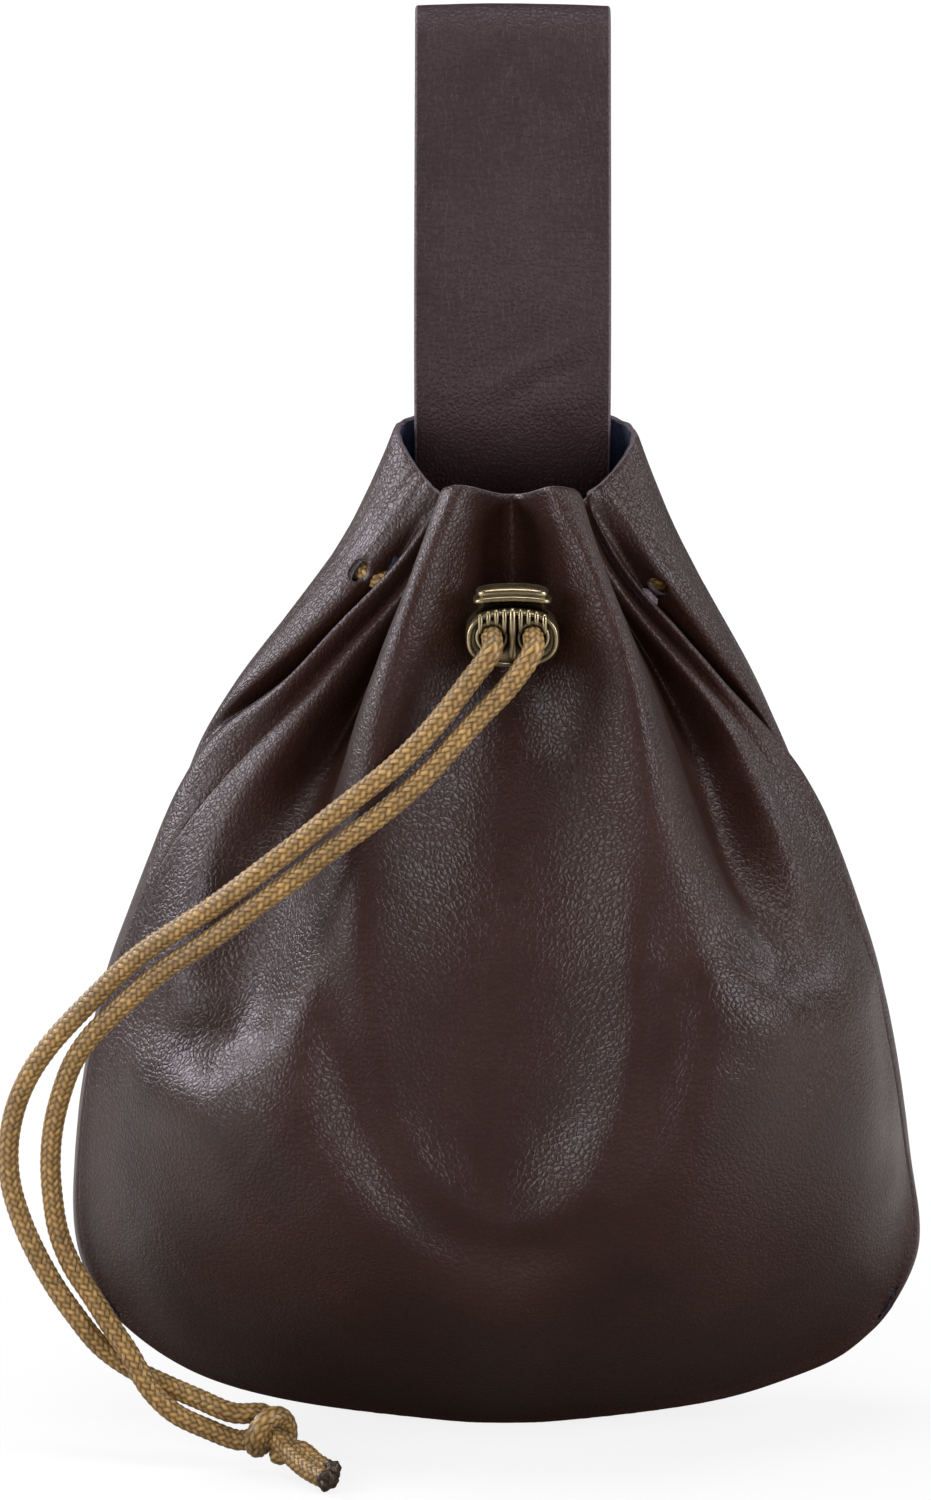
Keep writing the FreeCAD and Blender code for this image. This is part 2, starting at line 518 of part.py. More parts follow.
def share_bottom_normals(normals, grid, other_surface, front):
    """Along the bottom seam, average with the other panel's outward normal."""
    for i in range(1, len(grid) - 1):
        other = normal_at(other_surface, grid[i][0])
        if (front and other.y < 0) or (not front and other.y > 0):
            other = other * -1.0
        normals[i][0] = unit(normals[i][0] + other)


def trimmed(grid):
    """The grid with its side and bottom edges drawn back from the stitch line."""
    gap = dim("seam_gap")
    out = [list(column) for column in grid]
    for edge, inside in ((0, 1), (-1, -2)):
        for j in range(len(grid[0])):
            out[edge][j] = grid[edge][j] + unit(grid[inside][j] - grid[edge][j]) * gap
    for i in range(len(grid)):
        out[i][0] = out[i][0] + unit(grid[i][1] - grid[i][0]) * gap
    return out


def border_edges(panel_surface):
    u0, u1, v0, v1 = panel_surface.bounds()
    curves = [panel_surface.uIso(u0), panel_surface.uIso(u1),
              panel_surface.vIso(v0), panel_surface.vIso(v1)]
    return [curve.toShape() for curve in curves]


def panel_solid(grid, normals):
    thickness = dim("leather_thickness")
    outer_grid = trimmed(grid)
    inner_grid = [[point - normal * thickness for point, normal in zip(*pair)]
                  for pair in zip(outer_grid, normals)]
    outer, inner = surface(outer_grid), surface(inner_grid)
    sides = [Part.makeRuledSurface(outer_edge, inner_edge)
             for outer_edge, inner_edge in zip(border_edges(outer), border_edges(inner))]
    shell = Part.Shell([outer.toShape(), inner.toShape()] + sides)
    shell.sewShape()
    solid = Part.Solid(shell)
    if solid.Volume < 0:
        solid.reverse()
    fixed = Part.Solid(solid)
    fixed.fix(1e-3, 1e-3, 1e-3)
    # the fix is kept only where it leaves a sound solid
    if fixed.isValid() and fixed.Volume > 0:
        return fixed
    return solid


front_grid = panel_grid(FRONT_LINES)
back_grid = panel_grid(BACK_LINES)
front_surface = surface(front_grid)
back_surface = surface(back_grid)
front_normals = outward_normals(front_surface, front_grid, True)
back_normals = outward_normals(back_surface, back_grid, False)

# at the side seams both panels share the mean of their two normals
for side in (0, -1):
    shared = [unit(a + b) for a, b in zip(front_normals[side], back_normals[side])]
    front_normals[side] = shared
    back_normals[side] = shared
share_bottom_normals(front_normals, front_grid, back_surface, True)
share_bottom_normals(back_normals, back_grid, front_surface, False)


# -------------------------------------------------------------------- panels
def slice_box(name, height, bottom):
    """A box wider than the pouch, for cutting it at a level."""
    return box(name, (200, 120, height), (-100, -60, bottom))


def lead_punches():
    """The two holes in the front neck, in line with the bores of the lock."""
    return [cylinder("punch_lead_" + side, "cord_hole_radius", 60,
                     (f"lock_x {sign} lock_bore_offset", "lock_y + 40", "lock_z"), axis="y")
            for side, sign in SIDES]


def back_punch(name, start, end):
    start, end = Vector(*start), Vector(*end)
    obj = add("Cylinder", name)
    bind(obj, "Radius", "cord_hole_radius")
    obj.Height = (end - start).Length
    obj.Placement = Placement(start, Rotation(Vector(0, 0, 1), end - start))
    return obj


def punched(name, base, tools):
    for tool in tools[:-1]:
        base = cut("%s_%s" % (name, tool.Name), base, tool)
    return cut(name, base, tools[-1])


def build_panels():
    front_sheet = feature("front_sheet", panel_solid(front_grid, front_normals))
    back_sheet = feature("back_sheet", panel_solid(back_grid, back_normals))
    floor_cut = slice_box("floor_cut", 10, "rest_depth - 10")
    above = slice_box("above_split", 150, "neck_split_height + neck_split_gap / 2")
    below = slice_box("below_split", 150, "neck_split_height - neck_split_gap / 2")

    # the front is split at the neck; cutting from "below" upwards leaves its lower part
    front_low = cut("front_low", front_sheet, below)
    cut("front_panel", front_low, floor_cut)
    front_high = common("front_high", front_sheet, above)
    punched("front_neck", front_high, lead_punches())

    back_floor = cut("back_floor", back_sheet, floor_cut)
    punched("back_panel", back_floor, [back_punch(*row) for row in BACK_PUNCHES])


# --------------------------------------------------------------- seam thread
def build_seam_thread():
    """Short stitches down the left seam, along the bottom and up the right."""
    depth = dim("seam_thread_depth")
    bottom_depth = depth + dim("seam_bottom_extra")
    top = len(front_grid[0]) - 1

    def sunk(i, j, below_face):
        return front_grid[i][j] - front_normals[i][j] * below_face

    points = [sunk(0, j, depth) for j in range(top - 1, 0, -1)]
    points += [sunk(i, 0, bottom_depth) for i in range(len(front_grid))]
    points += [sunk(-1, j, depth) for j in range(1, top)]
    path = spline(points, SEAM_STEPS)

    length, gap = dim("seam_stitch_length"), dim("seam_stitch_gap")
    # only below the split: the neck moves away from the back panel
    limit = dim("neck_split_height") - dim("seam_split_margin")
    stitches = []
    start, travelled = path[0], 0.0
    for a, b in zip(path[:-1], path[1:]):
        travelled += (b - a).Length
        if start is not None and travelled >= length:
            if max(b.z, start.z) < limit:
                along = b - start
                stitches.append(Part.makeCylinder(dim("seam_thread_radius"), along.Length,
                                                  start, along))
            start, travelled = None, 0.0
        elif start is None and travelled >= gap:
            start, travelled = b, 0.0
    feature("seam_thread", Part.makeCompound(stitches))


# ----------------------------------------------------------------- belt loop
def tab_slab(width, length, thickness, centre_down, centre_out, offset_x=0.0):
    """A block lying along the leaning back panel, placed from the tab top."""
    lean = math.radians(dim("tab_lean"))
    down = Vector(0, math.sin(lean), -math.cos(lean))       # down along the panel
    outward = Vector(0, math.cos(lean), math.sin(lean))     # out of the panel, backwards
    top = Vector(dim("strap_centre_x"), dim("tab_panel_y"), dim("tab_top_z"))
    slab = Part.makeBox(width, thickness, length,
                        Vector(-width / 2, -thickness / 2, -length / 2))
    slab.Placement = Placement(
        top + down * centre_down + outward * centre_out + Vector(offset_x, 0, 0),
        Rotation(Vector(1, 0, 0), math.degrees(lean)))
    return slab


def build_tabs():
    """Sewn ends of the belt loop, one inside and one outside the back panel."""
    leather = dim("leather_thickness")
    strap, width, length = dim("strap_thickness"), dim("strap_width"), dim("tab_length")
    clear, clear_inner = dim("tab_clear"), dim("tab_clear_inner")
    feature("loop_inner_tab", tab_slab(width, length, strap, length / 2,
                                       -leather - clear_inner - strap / 2))
    feature("loop_outer_tab", tab_slab(width, length, strap, length / 2, clear + strap / 2))

    # each stitch is a closed ring through all three layers
    size, span, margin = dim("stitch_size"), dim("stitch_span"), dim("stitch_margin")
    face_clear = dim("stitch_clear")
    stack = leather + clear + clear_inner + 2 * strap
    middle = (clear - leather - clear_inner) / 2
    bar_out = stack / 2 + face_clear + size / 2
    stitches = []
    for row_down in (margin, length - margin):
        for i in range(STITCHES_PER_ROW):
            x = (i - (STITCHES_PER_ROW - 1) / 2) * dim("stitch_pitch")
            bars = [tab_slab(size, size, stack + 2 * size + 2 * face_clear, row_down, middle,
                             x + leg_x) for leg_x in (-span / 2, span / 2)]
            bars += [tab_slab(span + size, size, size, row_down, middle + sign * bar_out, x)
                     for sign in (1, -1)]
            stitches.append(bars[0].fuse(bars[1:]).removeSplitter().Solids[0])
    feature("loop_stitches", Part.makeCompound(stitches))


def build_belt_loop():
    left = "strap_centre_x - strap_width / 2"
    radius = "( strap_rear_y - strap_front_y ) / 2"
    fold_y = "( strap_front_y + strap_rear_y ) / 2"
    fold_z = "strap_top_z - " + radius
    leg_size = ("strap_width", "strap_thickness", "strap_top_z - strap_bottom_z - " + radius)
    leg_front = box("leg_front", leg_size, (left, "strap_front_y", "strap_bottom_z"))
    leg_rear = box("leg_rear", leg_size,
                   (left, "strap_rear_y - strap_thickness", "strap_bottom_z"))

    # the fold is the upper half of a ring
    base = (left, fold_y, fold_z)
    outer = cylinder("fold_outer", radius, "strap_width", base, axis="x")
    inner = cylinder("fold_inner", radius + " - strap_thickness", "strap_width", base, axis="x")
    ring = cut("fold_ring", outer, inner)
    keep = box("fold_keep", ("strap_width + 2", 30, 20), (left + " - 1", fold_y + " - 15", fold_z))
    half = common("fold_half", ring, keep)
    belt_loop = fuse("belt_loop", [leg_front, leg_rear, half])
    belt_loop.Refine = True


# ----------------------------------------------------------------- cord lock
def is_along(edge, axis):
    return abs(getattr(edge.tangentAt(edge.FirstParameter), axis)) > 0.9


def centred_corner(width, depth, bottom):
    """Corner of a box centred on the lock in x and y."""
    return (f"lock_x - {width} / 2", f"lock_y - {depth} / 2", bottom)


def build_lock_body():
    lock_z = dim("lock_z")
    bottom = "lock_z - lock_band_low"
    band = box("lock_band", ("lock_band_width", "lock_depth", "lock_band_height"),
               centred_corner("lock_band_width", "lock_depth", bottom))
    # the upright edges and the lower edges along X
    band_round = fillet("lock_band_round", band, dim("lock_band_round"),
                        lambda edge: is_along(edge, "x") and edge.CenterOfMass.z < lock_z
                        or is_along(edge, "z"))
    ends = [cylinder("lock_end_" + side, "lock_end_radius", "lock_end_height",
                     (f"lock_x {sign} lock_end_offset", "lock_y", "lock_z - lock_end_height / 2"))
            for side, sign in SIDES]

    # upright ribs on the front face, a square one in the middle
    front_y = "lock_y - lock_depth / 2"
    rib_bottom = bottom + " + lock_band_round"
    rib_height = "lock_band_height - 2 * lock_band_round"
    ribs = [cylinder("lock_rib_%d" % (k + 4), "lock_rib_radius", rib_height,
                     (f"lock_x + ( {k} ) * lock_rib_pitch", front_y, rib_bottom))
            for k in (-3, -2, -1, 1, 2, 3)]
    centre_rib = box("lock_centre_rib", ("centre_rib_width", "centre_rib_depth", rib_height),
                     ("lock_x - centre_rib_width / 2", front_y + " - centre_rib_depth / 2",
                      rib_bottom))
    blank = fuse("lock_blank", [band_round] + ends + ribs + [centre_rib])

    bores = [cylinder("lock_bore_" + side, "lock_bore_radius",
                      "lock_depth + 2 * lock_bore_overrun",
                      (f"lock_x {sign} lock_bore_offset",
                       "lock_y + lock_depth / 2 + lock_bore_overrun", "lock_z"), axis="y")
             for side, sign in SIDES]
    pocket = box("lock_pocket", ("lock_pocket_width", "lock_pocket_depth", 20),
                 centred_corner("lock_pocket_width", "lock_pocket_depth",
                                bottom + " + lock_floor"))
    cut("lock_body", blank, fuse("lock_hollow", bores + [pocket]))


def build_lock_button():
    """Plunger with a rounded cap and a slot for each cord."""
    stem = box("button_stem", ("stem_width", "stem_depth", "stem_low + cap_low + stem_overlap"),
               centred_corner("stem_width", "stem_depth", "lock_z - stem_low"))
    cap = box("button_cap", ("cap_width", "cap_depth", "cap_height"),
              centred_corner("cap_width", "cap_depth", "lock_z + cap_low"))
    cap_top = dim("lock_z") + dim("cap_low") + dim("cap_height")
    # the top and upright edges
    cap_round = fillet("button_cap_round", cap, dim("cap_edge_round"),
                       lambda edge: edge.CenterOfMass.z > cap_top - 0.01
                       or is_along(edge, "z"))
    slots = [box("button_slot_" + side,
                 ("2 * slot_half_width", "stem_depth + 2 * slot_overrun", "slot_low + slot_high"),
                 (f"lock_x {sign} lock_bore_offset - slot_half_width",
                  "lock_y - stem_depth / 2 - slot_overrun", "lock_z - slot_low"))
             for side, sign in SIDES]
    button = cut("lock_button", fuse("button_blank", [stem, cap_round]),
                 fuse("button_slots", slots))
    button.Refine = True


def build_lock_spring():
    """Compression spring under the plunger."""
    radius, wire = dim("spring_radius"), dim("spring_wire")
    clear = dim("spring_clear")
    low = dim("lock_z") - dim("lock_band_low") + dim("lock_floor") + clear + wire
    high = dim("lock_z") - dim("stem_low") - clear - wire
    helix = Part.makeHelix((high - low) / dim("spring_turns"), high - low, radius)
    ring = Part.Wire([Part.makeCircle(wire, Vector(radius, 0, 0), Vector(0, 1, 0))])
    coil = Part.Wire(helix.Edges).makePipeShell([ring], True, True)
    coil.translate(Vector(dim("lock_x"), dim("lock_y"), low))
    feature("lock_spring", coil)


# --------------------------------------------------------------------- cords
def build_cords():
    radius = dim("cord_radius")
    paths = [
        ("drawstring_left", LEFT_FRONT),
        ("drawstring_right", RIGHT_FRONT),
        ("drawstring_back", LEFT_BACK + REAR + RIGHT_BACK[::-1]),
        ("cord_tail_left", TAIL_LEFT),
        ("cord_tail_right", TAIL_RIGHT),
        ("cord_end_left", END_LEFT),
        ("cord_end_right", END_RIGHT),
    ]
    for name, path in paths:
        feature(name, tube(path, radius))

    # straight leads through the lock
    for side, sign in SIDES:
        cylinder("cord_lead_" + side, "cord_radius",
                 "lead_rear_y - ( lock_y - lock_depth / 2 - lead_overrun )",
                 (f"lock_x {sign} lock_bore_offset", "lead_rear_y", "lock_z"), axis="y")


def build_knot():
    """Overhand knot as an ellipsoid with two cord tips, cleared for the cord ends."""
    radius = dim("cord_radius")
    stretch = FreeCAD.Matrix()
    stretch.scale(dim("knot_radius_x"), dim("knot_radius_y"), dim("knot_radius_z"))
    ball = Part.makeSphere(1.0).transformGeometry(stretch)
    ball.translate(KNOT_CENTRE)
    lower = tube([KNOT_CENTRE] + TIP_LOWER, radius)
    upper = tube([KNOT_CENTRE + TIP_UPPER_RISE] + TIP_UPPER, radius)
    knot = ball.fuse([lower, upper]).removeSplitter()
    below_floor = Part.makeBox(120, 120, 20, Vector(-90, -90, -20))
    knot = knot.cut(below_floor)
    for path in (END_LEFT, END_RIGHT):
        before, last = Vector(*path[-2]), Vector(*path[-1])
        beyond = last + unit(last - before) * dim("knot_cord_end_gap")
        knot = knot.cut(tube(path[-7:-1] + [beyond], radius + dim("knot_cord_clear")))
    feature("cord_knot", max(knot.Solids, key=lambda solid: solid.Volume))


build_panels()
build_seam_thread()
build_tabs()
build_belt_loop()
build_lock_body()
build_lock_button()
build_lock_spring()
build_cords()
build_knot()
doc.recompute()

# -------------------------------------------------------------------- export
NODES = [
    "front_panel", "front_neck", "back_panel", "seam_thread",
    "belt_loop", "loop_inner_tab", "loop_outer_tab", "loop_stitches",
    "drawstring_back", "drawstring_left", "drawstring_right",
    "lock_body", "lock_button", "lock_spring",
    "cord_lead_left", "cord_lead_right", "cord_tail_left", "cord_tail_right",
    "cord_end_left", "cord_end_right", "cord_knot",
]

problems = []
for obj in doc.Objects:
    state = [str(flag) for flag in obj.State]
    if "Invalid" in state or "Error" in state:
        problems.append("%s is %s" % (obj.Name, state))
shapes = {name: doc.getObjectsByLabel(name)[0].Shape for name in NODES}
for name, shape in shapes.items():
    if shape.isNull() or not shape.isValid() or shape.Volume <= 0:
        problems.append("%s has a bad shape (null %s)" % (name, shape.isNull()))
if problems:
    raise RuntimeError("; ".join(problems))

os.makedirs("parts", exist_ok=True)
for name, shape in shapes.items():
    shape.exportStep("parts/%s.step" % name)
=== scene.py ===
"""Gathered leather drawstring pouch with a belt loop and a brass cord lock.

The pouch stands on the floor at z = 0. Its front faces -Y, left is -X, and the belt
loop rises above the back of the mouth. Measurements are in millimetres unless a
comment says otherwise; meshes are turned into metres when they are made.
"""

import math

import bmesh
import bpy
import numpy as np
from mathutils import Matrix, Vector, noise


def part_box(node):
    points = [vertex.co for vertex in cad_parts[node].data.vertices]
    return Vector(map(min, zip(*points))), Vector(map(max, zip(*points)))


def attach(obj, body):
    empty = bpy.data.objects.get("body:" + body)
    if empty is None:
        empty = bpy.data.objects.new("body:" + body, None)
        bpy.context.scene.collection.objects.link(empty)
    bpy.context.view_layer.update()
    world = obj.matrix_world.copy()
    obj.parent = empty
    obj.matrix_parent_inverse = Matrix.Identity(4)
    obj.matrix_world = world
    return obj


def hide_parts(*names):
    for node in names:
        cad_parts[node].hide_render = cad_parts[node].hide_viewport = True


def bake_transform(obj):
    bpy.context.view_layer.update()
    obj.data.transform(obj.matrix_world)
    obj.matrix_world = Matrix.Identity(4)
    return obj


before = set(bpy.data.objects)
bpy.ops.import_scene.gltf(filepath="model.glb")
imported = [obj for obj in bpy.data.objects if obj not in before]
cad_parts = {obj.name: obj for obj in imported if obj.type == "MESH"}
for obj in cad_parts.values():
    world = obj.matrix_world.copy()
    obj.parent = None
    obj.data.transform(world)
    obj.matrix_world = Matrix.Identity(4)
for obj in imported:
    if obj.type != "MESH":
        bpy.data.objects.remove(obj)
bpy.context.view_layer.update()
MM = 0.001                                   # metres in a millimetre
X_AXIS, Y_AXIS, Z_AXIS = np.eye(3)

# ------------------------------------------------------------ driving sizes
LEATHER_THICK = 1.2
FRONT_STEP = 0.86         # mesh spacing of the two panels
BACK_STEP = 0.92
BACK_HOLES = [((-24.5, -1.0, 148.7), 2.15), ((25.6, -1.0, 145.9), 1.9)]   # centre, radius

STRAP_THICK = 1.5

CORD_RADIUS = 1.8
BRAID_RELIEF = 0.26                          # depth of the valleys between strands
BRAID_STRANDS = 10                           # strands running each way round
BRAID_PITCH = 1.32
CORD_SIDES = 56
LEAD_X = (-2.4, 4.4)                         # the two cords through the lock

# the camera and what it sees in the plane through its target
CAMERA_DISTANCE = 1200.0
CAMERA_TILT = math.radians(10.0)
CAMERA_TARGET = np.array([-6.715, 0.0, 117.819])
VIEW_HEIGHT = 255.0
SENSOR = 36
VIEW = np.array([0, math.cos(CAMERA_TILT), -math.sin(CAMERA_TILT)])
VIEW_UP = np.array([0, math.sin(CAMERA_TILT), math.cos(CAMERA_TILT)])
CAMERA_PLACE = CAMERA_TARGET - CAMERA_DISTANCE * VIEW

# ------------------------------------------------------------ leather lines
# Ridge and valley lines of the gathered leather, x, y, z. Each runs from the bottom
# seam up to the mouth; the lines go from left to right.
LEFT_SEAM = [
    (-68.3, -1, 19.68), (-72.95, -1.19, 32.2), (-73.33, -1.63, 45.63), (-72.02, -2.2, 59.03),
    (-69.41, -2.76, 72.22), (-64.86, -3.27, 84.89), (-59.71, -3.66, 97.32),
    (-52.39, -3.96, 108.6), (-43.53, -4.02, 118.75), (-34.42, -3.99, 128.67),
    (-25.26, -4, 138.55), (-16.4, -4, 148.66), (-9.83, -4, 160.42),
]
RIGHT_SEAM = [
    (66.92, -1, 20.39), (70.63, -1.1, 32.74), (69.28, -1.63, 45.7), (67.2, -2.18, 58.57),
    (64.76, -2.7, 71.38), (61.64, -3.18, 84.03), (57.25, -3.6, 96.3),
    (51.06, -3.96, 107.78), (43.59, -4.02, 118.47), (35.55, -4, 128.75),
    (26.89, -4, 138.51), (18.77, -4, 148.71), (13.07, -4, 160.42),
]
FRONT_GRID = np.array([
    LEFT_SEAM,
    [(-56.83, -1, 10.45), (-59.84, -9.51, 21.48), (-62.93, -13.71, 34.67), (-64.6, -14.15, 48.81),
     (-64.02, -12.89, 63.01), (-61.83, -11.52, 77.04), (-57.65, -10.5, 90.64),
     (-51.17, -9.65, 103.32), (-42.93, -8.83, 114.93), (-33.8, -8.07, 125.89),
     (-24.86, -7.26, 136.99), (-15.78, -6.23, 147.93), (-9.82, -7, 160.84)],
    [(-45.64, -1, 5.64), (-49.98, -10.77, 16.24), (-53.73, -18.71, 28.43), (-56.69, -22.83, 42.53),
     (-58.42, -22.64, 57.45), (-57.59, -20.35, 72.28), (-53.72, -17.16, 86.46),
     (-47.68, -12.9, 99.56), (-39.55, -8.76, 111.52), (-30.43, -5.32, 123),
     (-21.81, -4.47, 135.28), (-14.3, -6.29, 148.19), (-9.81, -10.5, 161.84)],
    [(-35.29, -1, 3.32), (-37.87, -12.24, 14.1), (-41.25, -22.23, 25.81), (-45.69, -29.52, 39.04),
     (-49.51, -32.76, 53.92), (-49.92, -29.46, 69.11), (-45.32, -21.94, 82.13),
     (-39.3, -16.75, 95.75), (-32.54, -10.12, 108.37), (-26.08, -3.69, 121.23),
     (-19.87, -3.75, 135.46), (-14.02, -10.1, 148.64), (-10.14, -14.5, 163.24)],
    [(-26.66, -1, 1.9), (-28.82, -12.58, 12.18), (-31.82, -23.26, 23.18), (-36.29, -31.91, 35.37),
     (-41.76, -36.44, 49.2), (-45.24, -35.58, 64.29), (-40.12, -31.57, 78.15),
     (-34.98, -29.62, 92.66), (-29.69, -29, 107.35), (-26.24, -29.51, 122.58),
     (-21.4, -28.72, 137.4), (-15.85, -26.28, 151.72), (-10.78, -20.5, 165.25)],
    [(-19.41, -1, 1), (-21.43, -13.32, 10.65), (-23.66, -24.67, 21.37), (-26.39, -33.81, 33.9),
     (-31.28, -39.08, 47.83), (-36.44, -40.05, 62.62), (-33.88, -39.77, 77.99),
     (-28.19, -39.26, 92.69), (-24.05, -38.7, 107.91), (-20.35, -37.47, 123.2),
     (-16.87, -35.28, 138.43), (-12.73, -31.64, 153.19), (-8.12, -25, 166.71)],
    [(-11.12, -1, 0.11), (-12, -13.18, 9.79), (-13.12, -24.72, 20.19), (-14.83, -34.85, 31.87),
     (-19.36, -40.21, 45.51), (-23.79, -39.08, 60.21), (-20.9, -38.09, 75.44),
     (-16.66, -37.05, 90.4), (-13.28, -35.25, 105.49), (-10.62, -32.22, 120.54),
     (-8.08, -28.23, 135.38), (-5.88, -23.98, 150.18), (-3.81, -21, 165.32)],
    [(-0.75, -1, -0.6), (-1.12, -13.97, 8.03), (-1.37, -26.36, 17.45), (-2.06, -36.91, 28.85),
     (-2.65, -38.08, 43.29), (-2.53, -35.35, 58.46), (-1.68, -34.89, 74.01),
     (-1.01, -33.56, 89.52), (-0.45, -31.5, 104.95), (0.16, -28.45, 120.2),
     (0.78, -21.58, 134.11), (1.08, -14.38, 147.85), (0.89, -12, 163.23)],
    [(9.61, -1, -0.07), (9.55, -13.55, 8.93), (9.76, -25.25, 18.99), (10.51, -35.07, 30.84),
     (12.67, -40.51, 44.96), (16.03, -39.62, 59.98), (16.97, -38.63, 75.34),
     (15.99, -37.35, 90.7), (14.17, -35.13, 105.87), (11.97, -32.16, 120.86),
     (9.92, -28.14, 135.62), (7.8, -23.96, 150.31), (4.82, -21, 165.15)],
    [(19.97, -1, 1), (20.38, -13.73, 10.12), (20.85, -25.36, 20.55), (21.59, -34.52, 33.18),
     (24.12, -40.06, 47.53), (28.48, -41.67, 62.45), (30.47, -41.35, 77.91),
     (28.08, -40.59, 93.34), (24.17, -39.45, 108.46), (20.96, -37.72, 123.68),
     (17.94, -35.17, 138.83), (13.59, -31.57, 153.41), (8.25, -25, 166.54)],
    [(30.33, -1, 2.43), (31.42, -13.02, 12.3), (32.72, -23.99, 23.3), (34.5, -32.6, 36.13),
     (37.45, -37.38, 50.61), (41.26, -38.54, 65.67), (43.72, -37.98, 81.02),
     (38.67, -33.96, 94.47), (31.77, -31.82, 107.99), (26.93, -30.54, 122.76),
     (22.3, -29.26, 137.6), (16.84, -26.28, 151.87), (11.8, -20, 165.18)],
    [(39.81, -1, 4.39), (42.39, -11.96, 15.32), (45.33, -21.22, 27.61), (48.42, -27.65, 41.56),
     (50.92, -31.13, 56.63), (52.22, -31.16, 72.23), (47.57, -30.16, 86.92),
     (40.07, -20.71, 96.78), (34.56, -12.48, 108.94), (29.24, -4.91, 121.6),
     (22.83, -4.46, 135.63), (16.54, -10.15, 148.82), (12.56, -14.5, 163.24)],
    [(49.28, -1, 7.6), (53.12, -9.15, 19.28), (56.95, -16, 31.75), (59.45, -20.67, 45.49),
     (59.42, -23.39, 59.96), (57.01, -24.26, 74.46), (52.82, -22.65, 88.48),
     (47.32, -18.32, 101.44), (40.72, -12.9, 113.46), (33.54, -6.36, 124.54),
     (24.66, -4.54, 136.06), (16.73, -6.38, 148.34), (12.96, -10.5, 161.84)],
    [(59.59, -1, 12.58), (63.04, -5.81, 25.01), (65.78, -9.95, 37.82), (65.07, -12.56, 51.3),
     (62.96, -13.68, 64.85), (60.04, -14, 78.31), (56.03, -13.28, 91.45),
     (49.98, -11.66, 103.7), (43.04, -10.1, 115.5), (35.39, -8.26, 126.79),
     (26.53, -6.89, 137.25), (18.27, -6.2, 148.24), (13.02, -7, 160.84)],
    RIGHT_SEAM,
])
